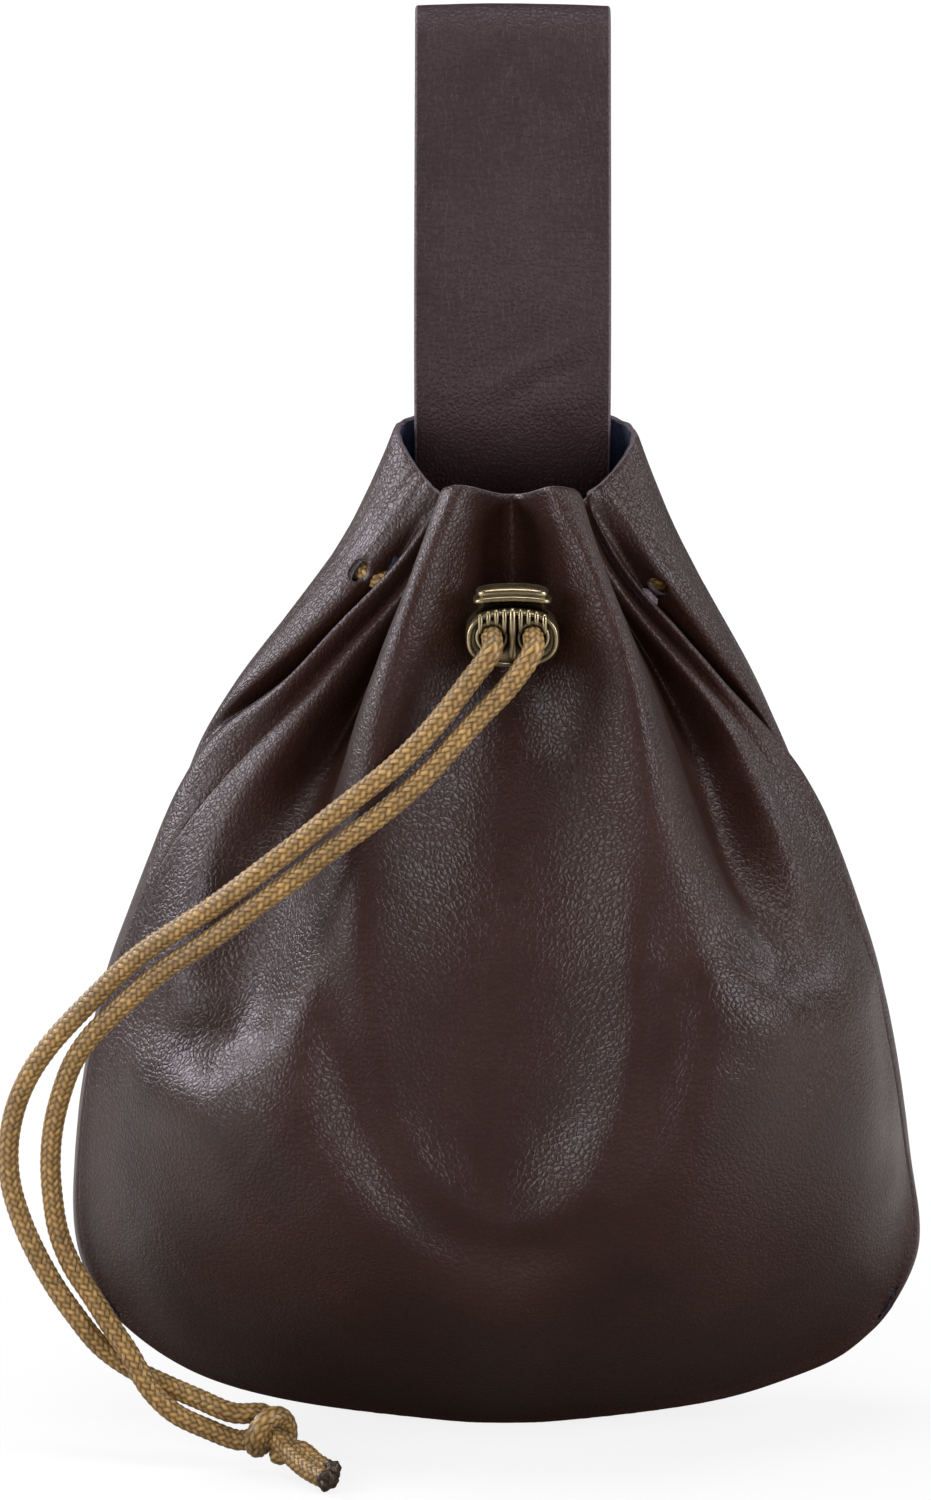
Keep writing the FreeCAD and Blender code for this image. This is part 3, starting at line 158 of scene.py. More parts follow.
BACK_GRID = np.array([
    LEFT_SEAM,
    [(-66.68, -1, 18.2), (-73.52, 3.42, 29.14), (-74.22, 4.05, 43.04), (-73.01, 3.82, 56.95),
     (-70.26, 3.28, 70.64), (-66.35, 2.84, 84.05), (-61.46, 2.3, 97.13),
     (-56.05, 1.71, 110), (-48.31, -1.03, 121.18), (-38.12, -3.83, 130.31),
     (-28.49, -4.99, 140.36), (-18.67, -5.01, 150.28), (-10.33, -4.2, 161.29)],
    [(-64.87, -1, 16.57), (-71.4, 9.19, 24.35), (-73.6, 11.98, 38.27), (-73.11, 12.07, 52.86),
     (-70.96, 11.33, 67.29), (-66.94, 10.45, 81.3), (-61.84, 9.43, 94.95),
     (-55.92, 8.74, 108.29), (-48.45, 6.13, 120.47), (-36.44, 5.88, 128.7),
     (-26.18, 3.68, 138.82), (-18.33, -0.97, 150.2), (-11.68, -4.5, 162.7)],
    [(-60.87, -1, 13.25), (-66.25, 12.44, 18.5), (-69.57, 20.25, 30.79), (-69.75, 21.2, 46.19),
     (-68.16, 20.62, 61.56), (-65.56, 19.37, 76.75), (-61.75, 17.55, 91.62),
     (-56.38, 14.88, 105.86), (-51.01, 9.21, 119.14), (-42.13, 2.35, 129.56),
     (-31.47, -1.78, 139.94), (-21.9, -2.53, 151.9), (-14.39, -1, 165.27)],
    [(-52.49, -1, 8.16), (-56.42, 13.6, 13.43), (-60.23, 24.69, 23.92), (-62.46, 28.31, 39.26),
     (-62.28, 28.46, 55.26), (-60.79, 27.79, 71.2), (-58.54, 25.96, 86.96),
     (-54.64, 23.35, 102.26), (-50.76, 18.16, 116.89), (-43.89, 13.63, 130.53),
     (-34.33, 10.88, 143.08), (-25.28, 9.47, 156.18), (-18.7, 9, 170.77)],
    [(-40.47, -1, 4.34), (-43, 14.42, 9.12), (-45.97, 27.4, 18.28), (-48.71, 34, 32.81),
     (-49.69, 35.03, 49.04), (-49.33, 34.72, 65.36), (-48.14, 33.69, 81.62),
     (-45.28, 32.08, 97.61), (-41.67, 29.44, 113.31), (-36.48, 26.34, 128.46),
     (-29.31, 24.82, 143.05), (-22.42, 22.21, 157.6), (-17.24, 17.3, 172.27)],
    [(-27.54, -1, 2.02), (-29.55, 14.29, 7.51), (-31.8, 27.67, 16.45), (-33.88, 35.92, 30.24),
     (-34.58, 37.15, 46.45), (-34.18, 36.71, 62.8), (-32.57, 35.58, 79.02),
     (-29.91, 33.08, 94.96), (-26.44, 30.96, 110.8), (-22.46, 29.59, 126.6),
     (-18.77, 26.9, 142.3), (-15.67, 23.54, 158.01), (-13.65, 18.3, 173.35)],
    [(-14.59, -1, 0.48), (-15.85, 14.46, 5.9), (-17.03, 28.02, 14.96), (-17.91, 36.56, 28.83),
     (-18.33, 38.53, 45.07), (-17.97, 38.56, 61.52), (-17.13, 38.14, 77.93),
     (-15.87, 36.73, 94.27), (-13.96, 34.69, 110.48), (-11.92, 31.77, 126.53),
     (-10.14, 27.99, 142.44), (-8.72, 23.97, 158.32), (-7.66, 18.6, 173.83)],
    [(-0.76, -1, -0.6), (-0.79, 14.29, 5.42), (-0.81, 27.75, 14.72), (-0.79, 36.45, 28.52),
     (-0.65, 38.53, 44.75), (-0.54, 38.54, 61.19), (-0.3, 38.2, 77.63),
     (0.12, 36.72, 93.99), (0.51, 34.27, 110.25), (0.79, 31.25, 126.41),
     (1.09, 27.88, 142.5), (1.28, 24.03, 158.48), (1.25, 18.6, 174)],
    [(13.07, -1, 0.26), (14.42, 14.45, 5.9), (15.88, 27.99, 14.92), (17.28, 36.53, 28.74),
     (18.16, 38.53, 44.95), (18.24, 38.56, 61.38), (17.83, 38.15, 77.81),
     (16.98, 36.74, 94.16), (15.46, 34.7, 110.4), (13.79, 31.78, 126.49),
     (12.36, 28, 142.42), (11.3, 23.97, 158.32), (10.49, 18.6, 173.83)],
    [(26.07, -1, 1.79), (28.13, 14.25, 7.5), (30.67, 27.6, 16.38), (33.26, 35.86, 30.04),
     (34.42, 37.15, 46.2), (34.46, 36.72, 62.53), (33.28, 35.61, 78.77),
     (31.01, 33.12, 94.75), (27.92, 30.98, 110.63), (24.31, 29.6, 126.5),
     (20.98, 26.91, 142.26), (18.23, 23.55, 158), (16.48, 18.3, 173.35)],
    [(38.99, -1, 4.17), (41.61, 14.36, 9.11), (44.87, 27.31, 18.16), (48.1, 33.94, 32.53),
     (49.56, 35.03, 48.68), (49.64, 34.73, 64.97), (48.89, 33.72, 81.22),
     (46.47, 32.12, 97.24), (43.22, 29.51, 112.99), (38.41, 26.38, 128.21),
     (31.57, 24.83, 142.91), (24.96, 22.22, 157.55), (20.06, 17.3, 172.27)],
    [(49.29, -1, 7.6), (54.84, 12.34, 13.44), (59.07, 22.55, 24.12), (60.73, 26.63, 38.99),
     (60.53, 26.84, 54.57), (59.2, 25.48, 70.05), (56.98, 23.5, 85.37),
     (53.28, 20.76, 100.26), (48.7, 17.22, 114.75), (42.7, 14.05, 128.78),
     (35.3, 10.96, 142.15), (28.15, 9.51, 155.95), (22.43, 9, 170.42)],
    [(57.05, -1, 10.95), (62.99, 9.07, 19.86), (66.27, 15.77, 32.33), (66.37, 17.33, 46.9),
     (64.94, 16.71, 61.52), (62.35, 15.64, 75.96), (58.53, 13.6, 90.02),
     (53.68, 11.23, 103.7), (47.94, 7.87, 116.82), (40.75, 2.55, 128.43),
     (32.76, -1.4, 140.11), (24.91, -2.54, 152.41), (18, -1, 165.27)],
    [(62.02, -1, 14.68), (66.78, 6.2, 25.56), (68.49, 9.33, 38.93), (67.61, 9.56, 52.87),
     (65.4, 9.36, 66.67), (62.24, 8.74, 80.28), (58.19, 7.73, 93.62),
     (53.36, 6.68, 106.7), (46.13, 5.56, 118.5), (36.64, 5.37, 128.77),
     (27.64, 3.17, 139.22), (20.23, -1.01, 150.29), (14.24, -4.5, 162.36)],
    [(64.32, -1, 17.18), (70.98, 2.59, 28.27), (70.66, 3.01, 41.87), (68.93, 3, 55.41),
     (66.67, 2.99, 68.88), (63.5, 3.06, 82.16), (59.21, 2.53, 95.12),
     (54.14, 2.01, 107.79), (46.93, -0.08, 119.03), (38.15, -2.9, 129.1),
     (29.4, -4.89, 139.39), (20.46, -5.04, 149.68), (13.57, -4.2, 161.29)],
    RIGHT_SEAM,
])

# ---------------------------------------------------------------- fold lines
# Points (x, up) where a fold is seen in the plane through the camera target: world x,
# and distance from the target along the camera's up direction.
CENTRE_LOBE = [
    (-23.80, 8.50), (-26.69, -6.80), (-28.39, -20.40), (-28.73, -34.00), (-27.37, -49.30),
    (-23.97, -63.24), (-18.53, -73.44), (-10.03, -80.92), (-0.17, -84.66), (9.35, -82.96),
    (18.53, -76.50), (24.31, -63.24), (27.03, -47.60), (27.03, -34.00), (25.50, -20.40),
    (23.80, -6.80), (21.59, 8.50),
]
# where the belly swells out below the ends of the two side folds
BELLY_RIGHT = [
    (26.35, -66.30), (28.39, -52.70), (30.43, -39.95), (34.51, -38.76), (40.29, -42.50),
    (46.41, -43.86), (53.21, -41.48), (58.99, -35.70), (64.43, -32.30), (67.83, -56.10),
    (67.15, -74.80), (61.71, -88.40), (48.45, -97.75), (33.15, -102.34), (16.15, -102.00),
    (12.75, -91.80), (20.91, -80.92),
]
BELLY_LEFT = [
    (-63.41, -50.66), (-57.63, -55.76), (-49.30, -58.48), (-41.31, -55.42), (-35.53, -47.60),
    (-31.11, -51.00), (-28.05, -62.90), (-22.61, -74.80), (-12.75, -84.32), (-11.05, -93.50),
    (-21.25, -101.15), (-36.55, -99.45), (-51.85, -93.50), (-63.41, -85.00), (-69.19, -73.10),
    (-68.17, -59.50),
]
# Creases: line, width, height at each point of the line (negative is a groove).
FRONT_CREASES = [
    # grooves under the side folds, each with a swelling below it
    ([(-60.35, -39.95), (-56.61, -46.92), (-49.47, -51.00), (-41.99, -47.60), (-37.23, -39.10)],
     4.5, [0.0, -0.8, -1.2, -0.9, 0.0]),
    ([(-64.09, -49.30), (-57.80, -56.44), (-49.13, -59.84), (-39.61, -55.76), (-33.49, -44.20)],
     7.0, [0.0, 0.7, 1.2, 0.9, 0.0]),
    ([(31.45, -22.10), (37.23, -32.30), (44.71, -36.38), (52.70, -34.00), (57.97, -26.35)],
     4.5, [0.0, -0.8, -1.2, -0.8, 0.0]),
    ([(31.11, -31.45), (36.89, -40.80), (45.39, -44.54), (55.25, -40.80), (61.71, -30.60)],
     7.0, [0.0, 0.7, 1.2, 0.8, 0.0]),
    # fine pulls beside the lobes
    ([(-34.85, -26.35), (-37.91, -35.70), (-41.31, -44.54), (-45.39, -50.32)],
     1.6, [0.0, 0.35, 0.5, 0.0]),
    ([(39.10, -29.75), (44.20, -34.85), (50.15, -37.06)], 1.6, [0.0, 0.5, 0.2]),
    ([(-49.30, -56.95), (-41.31, -61.54), (-34.85, -69.70), (-26.01, -77.18), (-16.15, -81.26)],
     2.6, [0.0, 0.25, 0.3, 0.25, 0.0]),
    ([(14.45, -82.62), (22.95, -74.80), (31.45, -62.90), (36.55, -51.00)],
     3.0, [0.0, 0.3, 0.3, 0.0]),
    ([(-27.20, 10.20), (-31.79, 1.36), (-36.55, -8.50)], 1.2, [0.0, -0.35, 0.0]),
    ([(33.15, 10.20), (39.10, 0.34), (45.05, -10.54)], 1.2, [0.0, -0.35, 0.0]),
    ([(-5.95, 39.10), (-7.31, 27.20), (-9.01, 15.30)], 1.4, [0.3, 0.25, 0.0]),
    ([(8.67, 39.10), (11.39, 27.20), (14.45, 15.30)], 1.4, [0.3, 0.25, 0.0]),
    # broad ridges right and left of the foot of the centre lobe
    ([(33.15, -39.95), (31.45, -54.40), (27.03, -68.00), (19.89, -80.24), (9.35, -89.25)],
     13.0, [1.4, 3.4, 3.4, 2.6, 0.8]),
    ([(-43.35, -57.80), (-36.21, -62.90), (-28.05, -74.46), (-18.53, -83.30), (-9.35, -90.10)],
     11.5, [1.2, 2.6, 2.8, 2.0, 0.6]),
]
STRAP_CREASES = [
    # soft diagonal pulls low on the right of the front leg
    ([(-5.95, 59.16), (2.55, 64.26), (10.37, 68.85), (17.85, 72.76)], 1.5, [0.0, 0.28, 0.34, 0.1]),
    ([(-3.23, 57.46), (4.25, 61.88), (12.75, 65.28), (18.19, 67.66)],
     1.3, [0.0, -0.22, -0.28, -0.1]),
    ([(-12.75, 59.84), (-5.95, 64.26), (1.19, 68.00), (8.67, 72.76)],
     1.6, [0.0, -0.16, -0.18, 0.0]),
    ([(2.55, 68.85), (6.80, 74.46), (11.39, 78.88)], 1.6, [0.0, 0.18, 0.0]),
    ([(-0.85, 55.76), (7.31, 58.82), (17.17, 60.18)], 2.0, [0.0, 0.25, 0.1]),
]

# --------------------------------------------------------------- cord points
# x, y, z down from the lock across the front
TAIL_LEFT = [
    (-2.4, -39.7, 141.35), (-6.26, -40.19, 136.11), (-10.24, -40.53, 130.95),
    (-14.54, -41.09, 126.08), (-19.3, -41.8, 121.67), (-24.41, -41.97, 117.63),
    (-29.47, -41.62, 113.53), (-34.45, -41.04, 109.35), (-39.64, -41, 105.39),
    (-44.6, -39.8, 101.39), (-49.38, -37.61, 97.53), (-54.51, -35.82, 93.92),
    (-59.39, -33.48, 90.27), (-63.79, -30.95, 86.19),
]
TAIL_RIGHT = [
    (4.4, -39.7, 141.35), (0.55, -40.05, 135.65), (-4.18, -40.25, 130.67),
    (-8.81, -40.68, 125.59), (-13.47, -41.32, 120.56), (-18.65, -41.83, 116.05),
    (-24.07, -41.68, 111.8), (-29.63, -41.05, 107.79), (-34.97, -40.68, 103.45),
    (-40.5, -40.32, 99.38), (-45.66, -38.69, 95.11), (-50.85, -36.6, 91.1),
    (-55.92, -33.76, 87.41), (-60.64, -31.18, 83.1),
]
# x, y, z round the left side and down to the knot
END_LEFT = [
    (-68, -28.92, 81.64), (-72.29, -27.51, 77.02), (-76.41, -26.4, 72.18),
    (-79.91, -25.45, 66.85), (-82.37, -24.8, 60.93), (-83.55, -24.47, 54.6),
    (-83.31, -24.3, 48.17), (-81.64, -24.25, 41.94), (-79.14, -24.26, 35.99),
    (-76.06, -24.39, 30.33), (-72.44, -24.51, 24.99), (-68.49, -24.22, 19.89),
    (-63.41, -24.01, 15.97), (-57.61, -24.87, 13.32), (-51.8, -26.8, 11.27),
    (-45.93, -28.68, 9.34),
]
END_RIGHT = [
    (-65.04, -29.29, 78.69), (-69.13, -27.85, 74.38), (-72.4, -26.48, 69.41),
    (-74.54, -25.51, 63.77), (-75.98, -24.96, 57.86), (-76.53, -24.65, 51.78),
    (-76.23, -24.49, 45.67), (-75.31, -24.38, 39.63), (-73.15, -24.43, 33.93),
    (-69.86, -24.8, 28.79), (-66.57, -25.76, 23.73), (-63.15, -27.24, 18.88),
    (-60.14, -28.33, 13.67), (-55.89, -28.53, 9.35), (-50.43, -28.62, 6.63),
    (-44.66, -29.21, 4.69),
]
# the left cord leaves its coil, and the right cord runs under it
COIL_END = [(-34.6, -34.2, 4.4), (-31.6, -37.6, 3.0), (-28.4, -41.0, 2.2)]
KNOT_RIGHT = [
    (-41.8, -29.6, 5.4), (-38.8, -31.4, 5.8), (-36.2, -35.6, 4.2), (-33.2, -40.2, 2.8),
    (-29.0, -45.6, 2.1),
]
# x, y, z once round the neck: out to the left, through the back, home from the right
NECK_PATH = [
    (LEAD_X[0], -8.9, 144.2),
    (-6.6, -8.0, 144.8), (-9.2, -5.9, 145.5), (-12.2, -2.6, 146.4), (-15.6, -0.6, 147.0),
    (-18.6, -0.4, 147.3), (-21.4, -0.9, 147.3), (-23.0, 0.3, 147.6), (-24.0, 3.2, 147.9),
    (-25.3, 6.4, 147.8), (-25.8, 10.4, 147.6), (-24.6, 14.0, 147.2), (-21.4, 17.2, 146.8),
    (-15.0, 18.4, 146.4), (-7.0, 18.9, 146.0), (1.0, 18.9, 145.6), (9.0, 18.8, 145.3),
    (17.0, 18.4, 145.1), (23.2, 17.2, 145.2), (27.4, 14.0, 145.4), (28.8, 10.9, 145.4),
    (27.7, 8.2, 145.3), (25.9, 6.2, 145.2), (24.2, 5.0, 145.0), (22.4, 4.2, 145.0),
    (20.0, 2.0, 145.2), (17.2, 0.6, 145.2), (14.4, -2.2, 145.0), (11.4, -6.2, 144.6),
    (8.3, -8.6, 144.6),
    (LEAD_X[1], -9.4, 144.2),
]


# ---------------------------------------------------------- curves and sheets
def spline_weights(knots, where):
    """Rows of weights: natural cubic spline through evenly spaced knots, at where."""
    where = np.asarray(where, float)
    system = np.zeros((knots, knots))
    right = np.zeros((knots, knots))
    system[0, 0] = system[-1, -1] = 1
    for i in range(1, knots - 1):
        system[i, i - 1:i + 2] = (1, 4, 1)
        right[i, i - 1:i + 2] = (6, -12, 6)
    bend = np.linalg.solve(system, right)
    k = np.clip(where.astype(int), 0, knots - 2)
    after = where - k
    before = 1 - after
    weights = ((before ** 3 - before) / 6)[:, None] * bend[k]
    weights += ((after ** 3 - after) / 6)[:, None] * bend[k + 1]
    rows = np.arange(len(where))
    weights[rows, k] += before
    weights[rows, k + 1] += after
    return weights


def sheet_points(grid, columns, rows):
    """The surface through grid[column][row] at the given column and row positions."""
    across = spline_weights(grid.shape[0], columns)
    upward = spline_weights(grid.shape[1], rows)
    return np.einsum("ac,bd,cdk->abk", across, upward, grid)


def run_length(points):
    """Length travelled along the first axis."""
    steps = np.linalg.norm(np.diff(points, axis=0), axis=-1)
    return np.concatenate([np.zeros((1,) + steps.shape[1:]), np.cumsum(steps, 0)])


def spread(points, count):
    """The polyline at evenly spaced lengths, and those lengths."""
    lengths = run_length(points)
    at = np.linspace(0, lengths[-1], count)
    columns = [np.interp(at, lengths, points[:, k]) for k in range(points.shape[1])]
    return np.stack(columns, 1), at


def resample(points, step):
    return spread(points, max(8, int(run_length(points)[-1] / step)))


def smooth(points, passes):
    """Ease kinks along the first axis; the two ends stay."""
    for _ in range(passes):
        points[1:-1] = (points[:-2] + 2 * points[1:-1] + points[2:]) / 4
    return points


def between(t, t_start, t_end, start, end):
    return (t_end - t) / (t_end - t_start) * start + (t - t_start) / (t_end - t_start) * end


def smooth_curve(points, step=0.4):
    """Centripetal Catmull-Rom curve through unevenly spaced points, lightly smoothed."""
    points = np.asarray(points, float)
    padded = np.vstack([2 * points[0] - points[1], points, 2 * points[-1] - points[-2]])
    knots = np.r_[0, np.cumsum(np.linalg.norm(np.diff(padded, axis=0), axis=1) ** 0.5)]
    curve = []
    for i in range(1, len(points)):
        p0, p1, p2, p3 = padded[i - 1:i + 3]
        t0, t1, t2, t3 = knots[i - 1:i + 3]
        count = max(4, int(np.linalg.norm(p2 - p1) / step))
        for t in np.linspace(t1, t2, count, endpoint=False):
            first = between(t, t0, t1, p0, p1)
            middle = between(t, t1, t2, p1, p2)
            last = between(t, t2, t3, p2, p3)
            curve.append(between(t, t1, t2, between(t, t0, t2, first, middle),
                                 between(t, t1, t3, middle, last)))
    curve.append(points[-1])
    return smooth(np.array(curve), 3)


def frames(curve):
    """Along, side and third directions at each point, carried on without twist."""
    along = np.gradient(curve, axis=0)
    along /= np.linalg.norm(along, axis=1, keepdims=True)
    side = np.cross(along[0], Z_AXIS)
    if np.linalg.norm(side) < 0.2:
        side = np.cross(along[0], Y_AXIS)
    sides = []
    for direction in along:
        side = side - direction * (side @ direction)
        side /= np.linalg.norm(side)
        sides.append(side.copy())
    sides = np.array(sides)
    return along, sides, np.cross(along, sides)


def full_turn(count):
    return np.linspace(0, 2 * math.pi, count, endpoint=False)


def ring(centre, radius, first, second, count):
    """Points of a circle in the plane of two directions."""
    return [tuple(centre + radius * (math.cos(a) * first + math.sin(a) * second))
            for a in full_turn(count)]


def fbm(points, scale, seed):
    """Two octaves of fractal noise at each point."""
    roughness, lacunarity, octaves = 1.0, 2.0, 2
    flat = points.reshape(-1, 3) / scale + seed
    values = [noise.fractal(Vector(p), roughness, lacunarity, octaves) for p in flat]
    return np.array(values).reshape(points.shape[:-1])


def ease(t):
    return t * t * (3 - 2 * t)


# ------------------------------------------------------------- mesh building
def loft(rings, close_ends=True):
    """Rings of equal length joined to a skin."""
    n = len(rings[0])
    verts = [tuple(p) for points in rings for p in points]
    faces = []
    for k in range(len(rings) - 1):
        for i in range(n):
            j = (i + 1) % n
            faces.append((k * n + i, k * n + j, (k + 1) * n + j, (k + 1) * n + i))
    if close_ends:
        faces.append(list(range(n))[::-1])
        faces.append([(len(rings) - 1) * n + i for i in range(n)])
    return verts, faces


def join(parts):
    verts, faces = [], []
    for part_verts, part_faces in parts:
        start = len(verts)
        verts += part_verts
        faces += [[i + start for i in face] for face in part_faces]
    return verts, faces


def mesh_object(name, verts, faces, materials, index=None):
    """Smooth-shaded object from millimetre points; index holds a material per face."""
    mesh = bpy.data.meshes.new(name)
    mesh.from_pydata((np.asarray(verts) * MM).tolist(), [], [list(map(int, f)) for f in faces])
    mesh.polygons.foreach_set("use_smooth", np.ones(len(mesh.polygons), bool))
    if index is not None:
        mesh.polygons.foreach_set("material_index", np.asarray(index, np.int32))
    mesh.update()
    ob = bpy.data.objects.new(name, mesh)
    bpy.context.scene.collection.objects.link(ob)
    for material in materials:
        mesh.materials.append(material)
    return ob


def face_outward(mesh):
    bm = bmesh.new()
    bm.from_mesh(mesh)
    bmesh.ops.recalc_face_normals(bm, faces=bm.faces)
    bm.to_mesh(mesh)
    bm.free()


# --------------------------------------------------------------- fold shapes
def seen_at(points):
    """Where points are seen, as (x, up) in the plane through the camera target."""
    offset = points - CAMERA_PLACE
    scale = CAMERA_DISTANCE / (offset @ VIEW)
    return np.stack([CAMERA_TARGET[0] + offset[..., 0] * scale, (offset @ VIEW_UP) * scale], -1)


def segment_distance(points, start, end):
    """Distance of each point to a segment, and how far along the nearest place is."""
    run = end - start
    part = np.clip(((points - start) @ run) / (run @ run), 0, 1)
    return np.linalg.norm(points - (start + part[:, None] * run), axis=1), part


def crease(points, line, width, heights):
    """Height of a soft crease drawn along a line of (x, up) points."""
    seen = seen_at(points)
    line = np.array(line, float)
    heights = np.broadcast_to(np.asarray(heights, float), len(line))
    low, high = line.min(0) - 4 * width, line.max(0) + 4 * width
    near = ((seen > low) & (seen < high)).all(-1)
    out = np.zeros(points.shape[:-1])
    seen = seen[near]
    if not len(seen):
        return out
    nearest = np.full(len(seen), 1e9)
    height = np.zeros(len(seen))
    for i in range(len(line) - 1):
        distance, part = segment_distance(seen, line[i], line[i + 1])
        closer = distance < nearest
        nearest[closer] = distance[closer]
        height[closer] = (heights[i] + (heights[i + 1] - heights[i]) * part)[closer]
    out[near] = height * np.exp(-(nearest / width) ** 2)
    return out


def inside(points, outline, width):
    """0 outside a closed (x, up) outline, 1 inside, soft across width each way."""
    seen = seen_at(points).reshape(-1, 2)
    corners = np.array(outline, float)
    nearest = np.full(len(seen), 1e9)
    within = np.zeros(len(seen), bool)
    for a, b in zip(corners, np.roll(corners, -1, axis=0)):
        nearest = np.minimum(nearest, segment_distance(seen, a, b)[0])
        crosses = (a[1] > seen[:, 1]) != (b[1] > seen[:, 1])
        # the small term keeps a level side from dividing by zero
        x_cross = a[0] + (seen[:, 1] - a[1]) / (b[1] - a[1] + 1e-12) * (b[0] - a[0])
        within ^= crosses & (seen[:, 0] < x_cross)
    signed = np.where(within, nearest, -nearest)
    return ease(np.clip(0.5 + signed / (2 * width), 0, 1)).reshape(points.shape[:-1])


def hide_relief(points, gather):
    """Slow undulation of the hide, and pulls of height gather near the mouth."""
    height = 0.22 * fbm(points, scale=23.0, seed=3.1) + 0.045 * fbm(points, scale=8.5, seed=9.7)
    neck = np.clip((points[..., 2] - 95) / 60, 0, 1)
    angle = np.arctan2(points[..., 0], -points[..., 1] - 2)
    wander = fbm(points * np.array([1, 1, 0.25]), scale=14.0, seed=5.5)
    return height + gather * neck * np.sin(angle * 46 + 2.0 * wander)


def front_relief(points):
    """Creases, the centre lobe and the two swellings of the belly."""
    height = sum(crease(points, *row) for row in FRONT_CREASES)
    low = ease(np.clip((112 - points[..., 2]) / 26, 0, 1))
    height += (3.2 * inside(points, CENTRE_LOBE, width=4.6) - 0.7) * low
    height += 1.8 * inside(points, BELLY_RIGHT, width=8.0)
    height += 1.5 * inside(points, BELLY_LEFT, width=7.5)
    # groove round the lower part of the lobe
    height += crease(points, CENTRE_LOBE[2:15], width=3.6, heights=-1.0) * low
    return height


# ------------------------------------------------------------ leather panels
EDGE_LINES = np.array([0.1, 0.25, 0.45, 0.7, 1.0, 1.35, 1.7])   # extra lines beside a seam
HOLE_LINES = np.arange(-2.6, 2.61, 0.26)                         # close lines at a hole


def mesh_lines(grid, step, edges, holes):
    """Positions of mesh lines along the grid's first axis, about step apart.

    edges lists the ends (0 and 1) with extra lines; holes lists hole positions.
    """
    n = grid.shape[0]
    t = np.linspace(0, n - 1, 40 * (n - 1) + 1)
    points = sheet_points(grid, t, np.linspace(0, grid.shape[1] - 1, 25))
    gaps = np.linalg.norm(np.diff(points, axis=0), axis=2)
    length = np.r_[0, np.cumsum(0.5 * gaps.mean(1) + 0.5 * gaps.max(1))]
    lines = np.interp(np.linspace(0, length[-1], int(length[-1] / step) + 1), length, t)
    for edge in edges:
        places = length[-1] - EDGE_LINES if edge else EDGE_LINES
        lines = np.r_[lines, np.interp(places, length, t)]
    if holes:
        close = np.concatenate([np.interp(hole, t, length) + HOLE_LINES for hole in holes])
        apart = np.abs(np.interp(lines, t, length)[:, None] - close[None])
        clear = apart.min(1) > 0.2
        clear[0] = clear[-1] = True
        lines = np.r_[lines[clear], np.interp(close, length, t)]
    lines = np.unique(np.round(lines, 5))
    kept = [lines[0]]
    for line in lines[1:]:
        if line - kept[-1] > 0.003:
            kept.append(line)
    kept[-1] = lines[-1]
    return np.array(kept)


def normals_of(points, outward):
    """Unit normals; outward is the sign of the side the panel faces along Y."""
    normals = np.cross(np.gradient(points, axis=0), np.gradient(points, axis=1))
    normals /= np.linalg.norm(normals, axis=2, keepdims=True) + 1e-12
    return normals if (normals[..., 1].mean() > 0) == (outward > 0) else -normals


class Panel:
    """Outer surface of one leather panel: points, normals, distance from the seam."""

    def __init__(self, grid, outward, step, gather, holes=(), relief=None):
        columns = np.linspace(0, grid.shape[0] - 1, 500)
        rows = np.linspace(0, grid.shape[1] - 1, 300)
        search = sheet_points(grid, columns, rows)
        hole_columns, hole_rows = [], []
        for centre, _ in holes:
            apart = np.linalg.norm(search - np.array(centre), axis=2)
            i, j = np.unravel_index(np.argmin(apart), apart.shape)
            hole_columns.append(columns[i])
            hole_rows.append(rows[j])
        columns = mesh_lines(grid, step, (0, 1), hole_columns)
        rows = mesh_lines(grid.swapaxes(0, 1), step, (0,), hole_rows)
        points = sheet_points(grid, columns, rows)

        # ease the kinks across the folds, but not at the side seams
        across = run_length(points)
        keep = np.clip(np.minimum(across, across[-1] - across) / 4.0, 0, 1)[..., None]
        points = points * (1 - keep) + smooth(points.copy(), 5) * keep

        across = run_length(points)
        upward = run_length(points.swapaxes(0, 1)).T
        self.seam = np.minimum(np.minimum(across, across[-1] - across), upward)

        height = hide_relief(points, gather)
        if relief:
            height = height + relief(points)
        height *= np.clip(self.seam / 3.0, 0, 1)
        self.points = points + normals_of(points, outward) * height[..., None]
        self.normals = self.seam_normals(normals_of(self.points, outward))

    def seam_normals(self, normals, reach=1.6):
        """Turn the normals at the seams away from the middle of the pouch, so that
        both panels roll in to the same line."""
        x, z = self.points[..., 0], self.points[..., 2]
        near = np.clip(1 - self.seam / reach, 0, 1)[..., None]
        edge = np.stack([0.4 * x, np.zeros_like(x), np.minimum(z - 45, 0)], -1)
        edge /= np.linalg.norm(edge, axis=2, keepdims=True) + 1e-9
        mixed = normals * (1 - near) + edge * near
        return mixed / (np.linalg.norm(mixed, axis=2, keepdims=True) + 1e-9)


def seam_dip(distance, reach=1.1):
    """How far the leather rolls in towards the stitch line."""
    x = np.clip(1 - distance / reach, 0, 1)
    return 0.75 * (1 - np.sqrt(np.clip(1 - x * x, 0, 1)))


def flatten_foot(points):
    """The pouch stands on its bottom seam."""
    z = points[..., 2]
    points[..., 2] = np.where(z < 0.15, 0.15 + (z - 0.15) * 0.1, z)


# the two corners of each side of a mesh cell, and the step to the cell beyond it
CELL_SIDES = [
    ((0, 0), (0, 1), (-1, 0)), ((1, 0), (1, 1), (1, 0)),
    ((0, 0), (1, 0), (0, -1)), ((0, 1), (1, 1), (0, 1)),
]


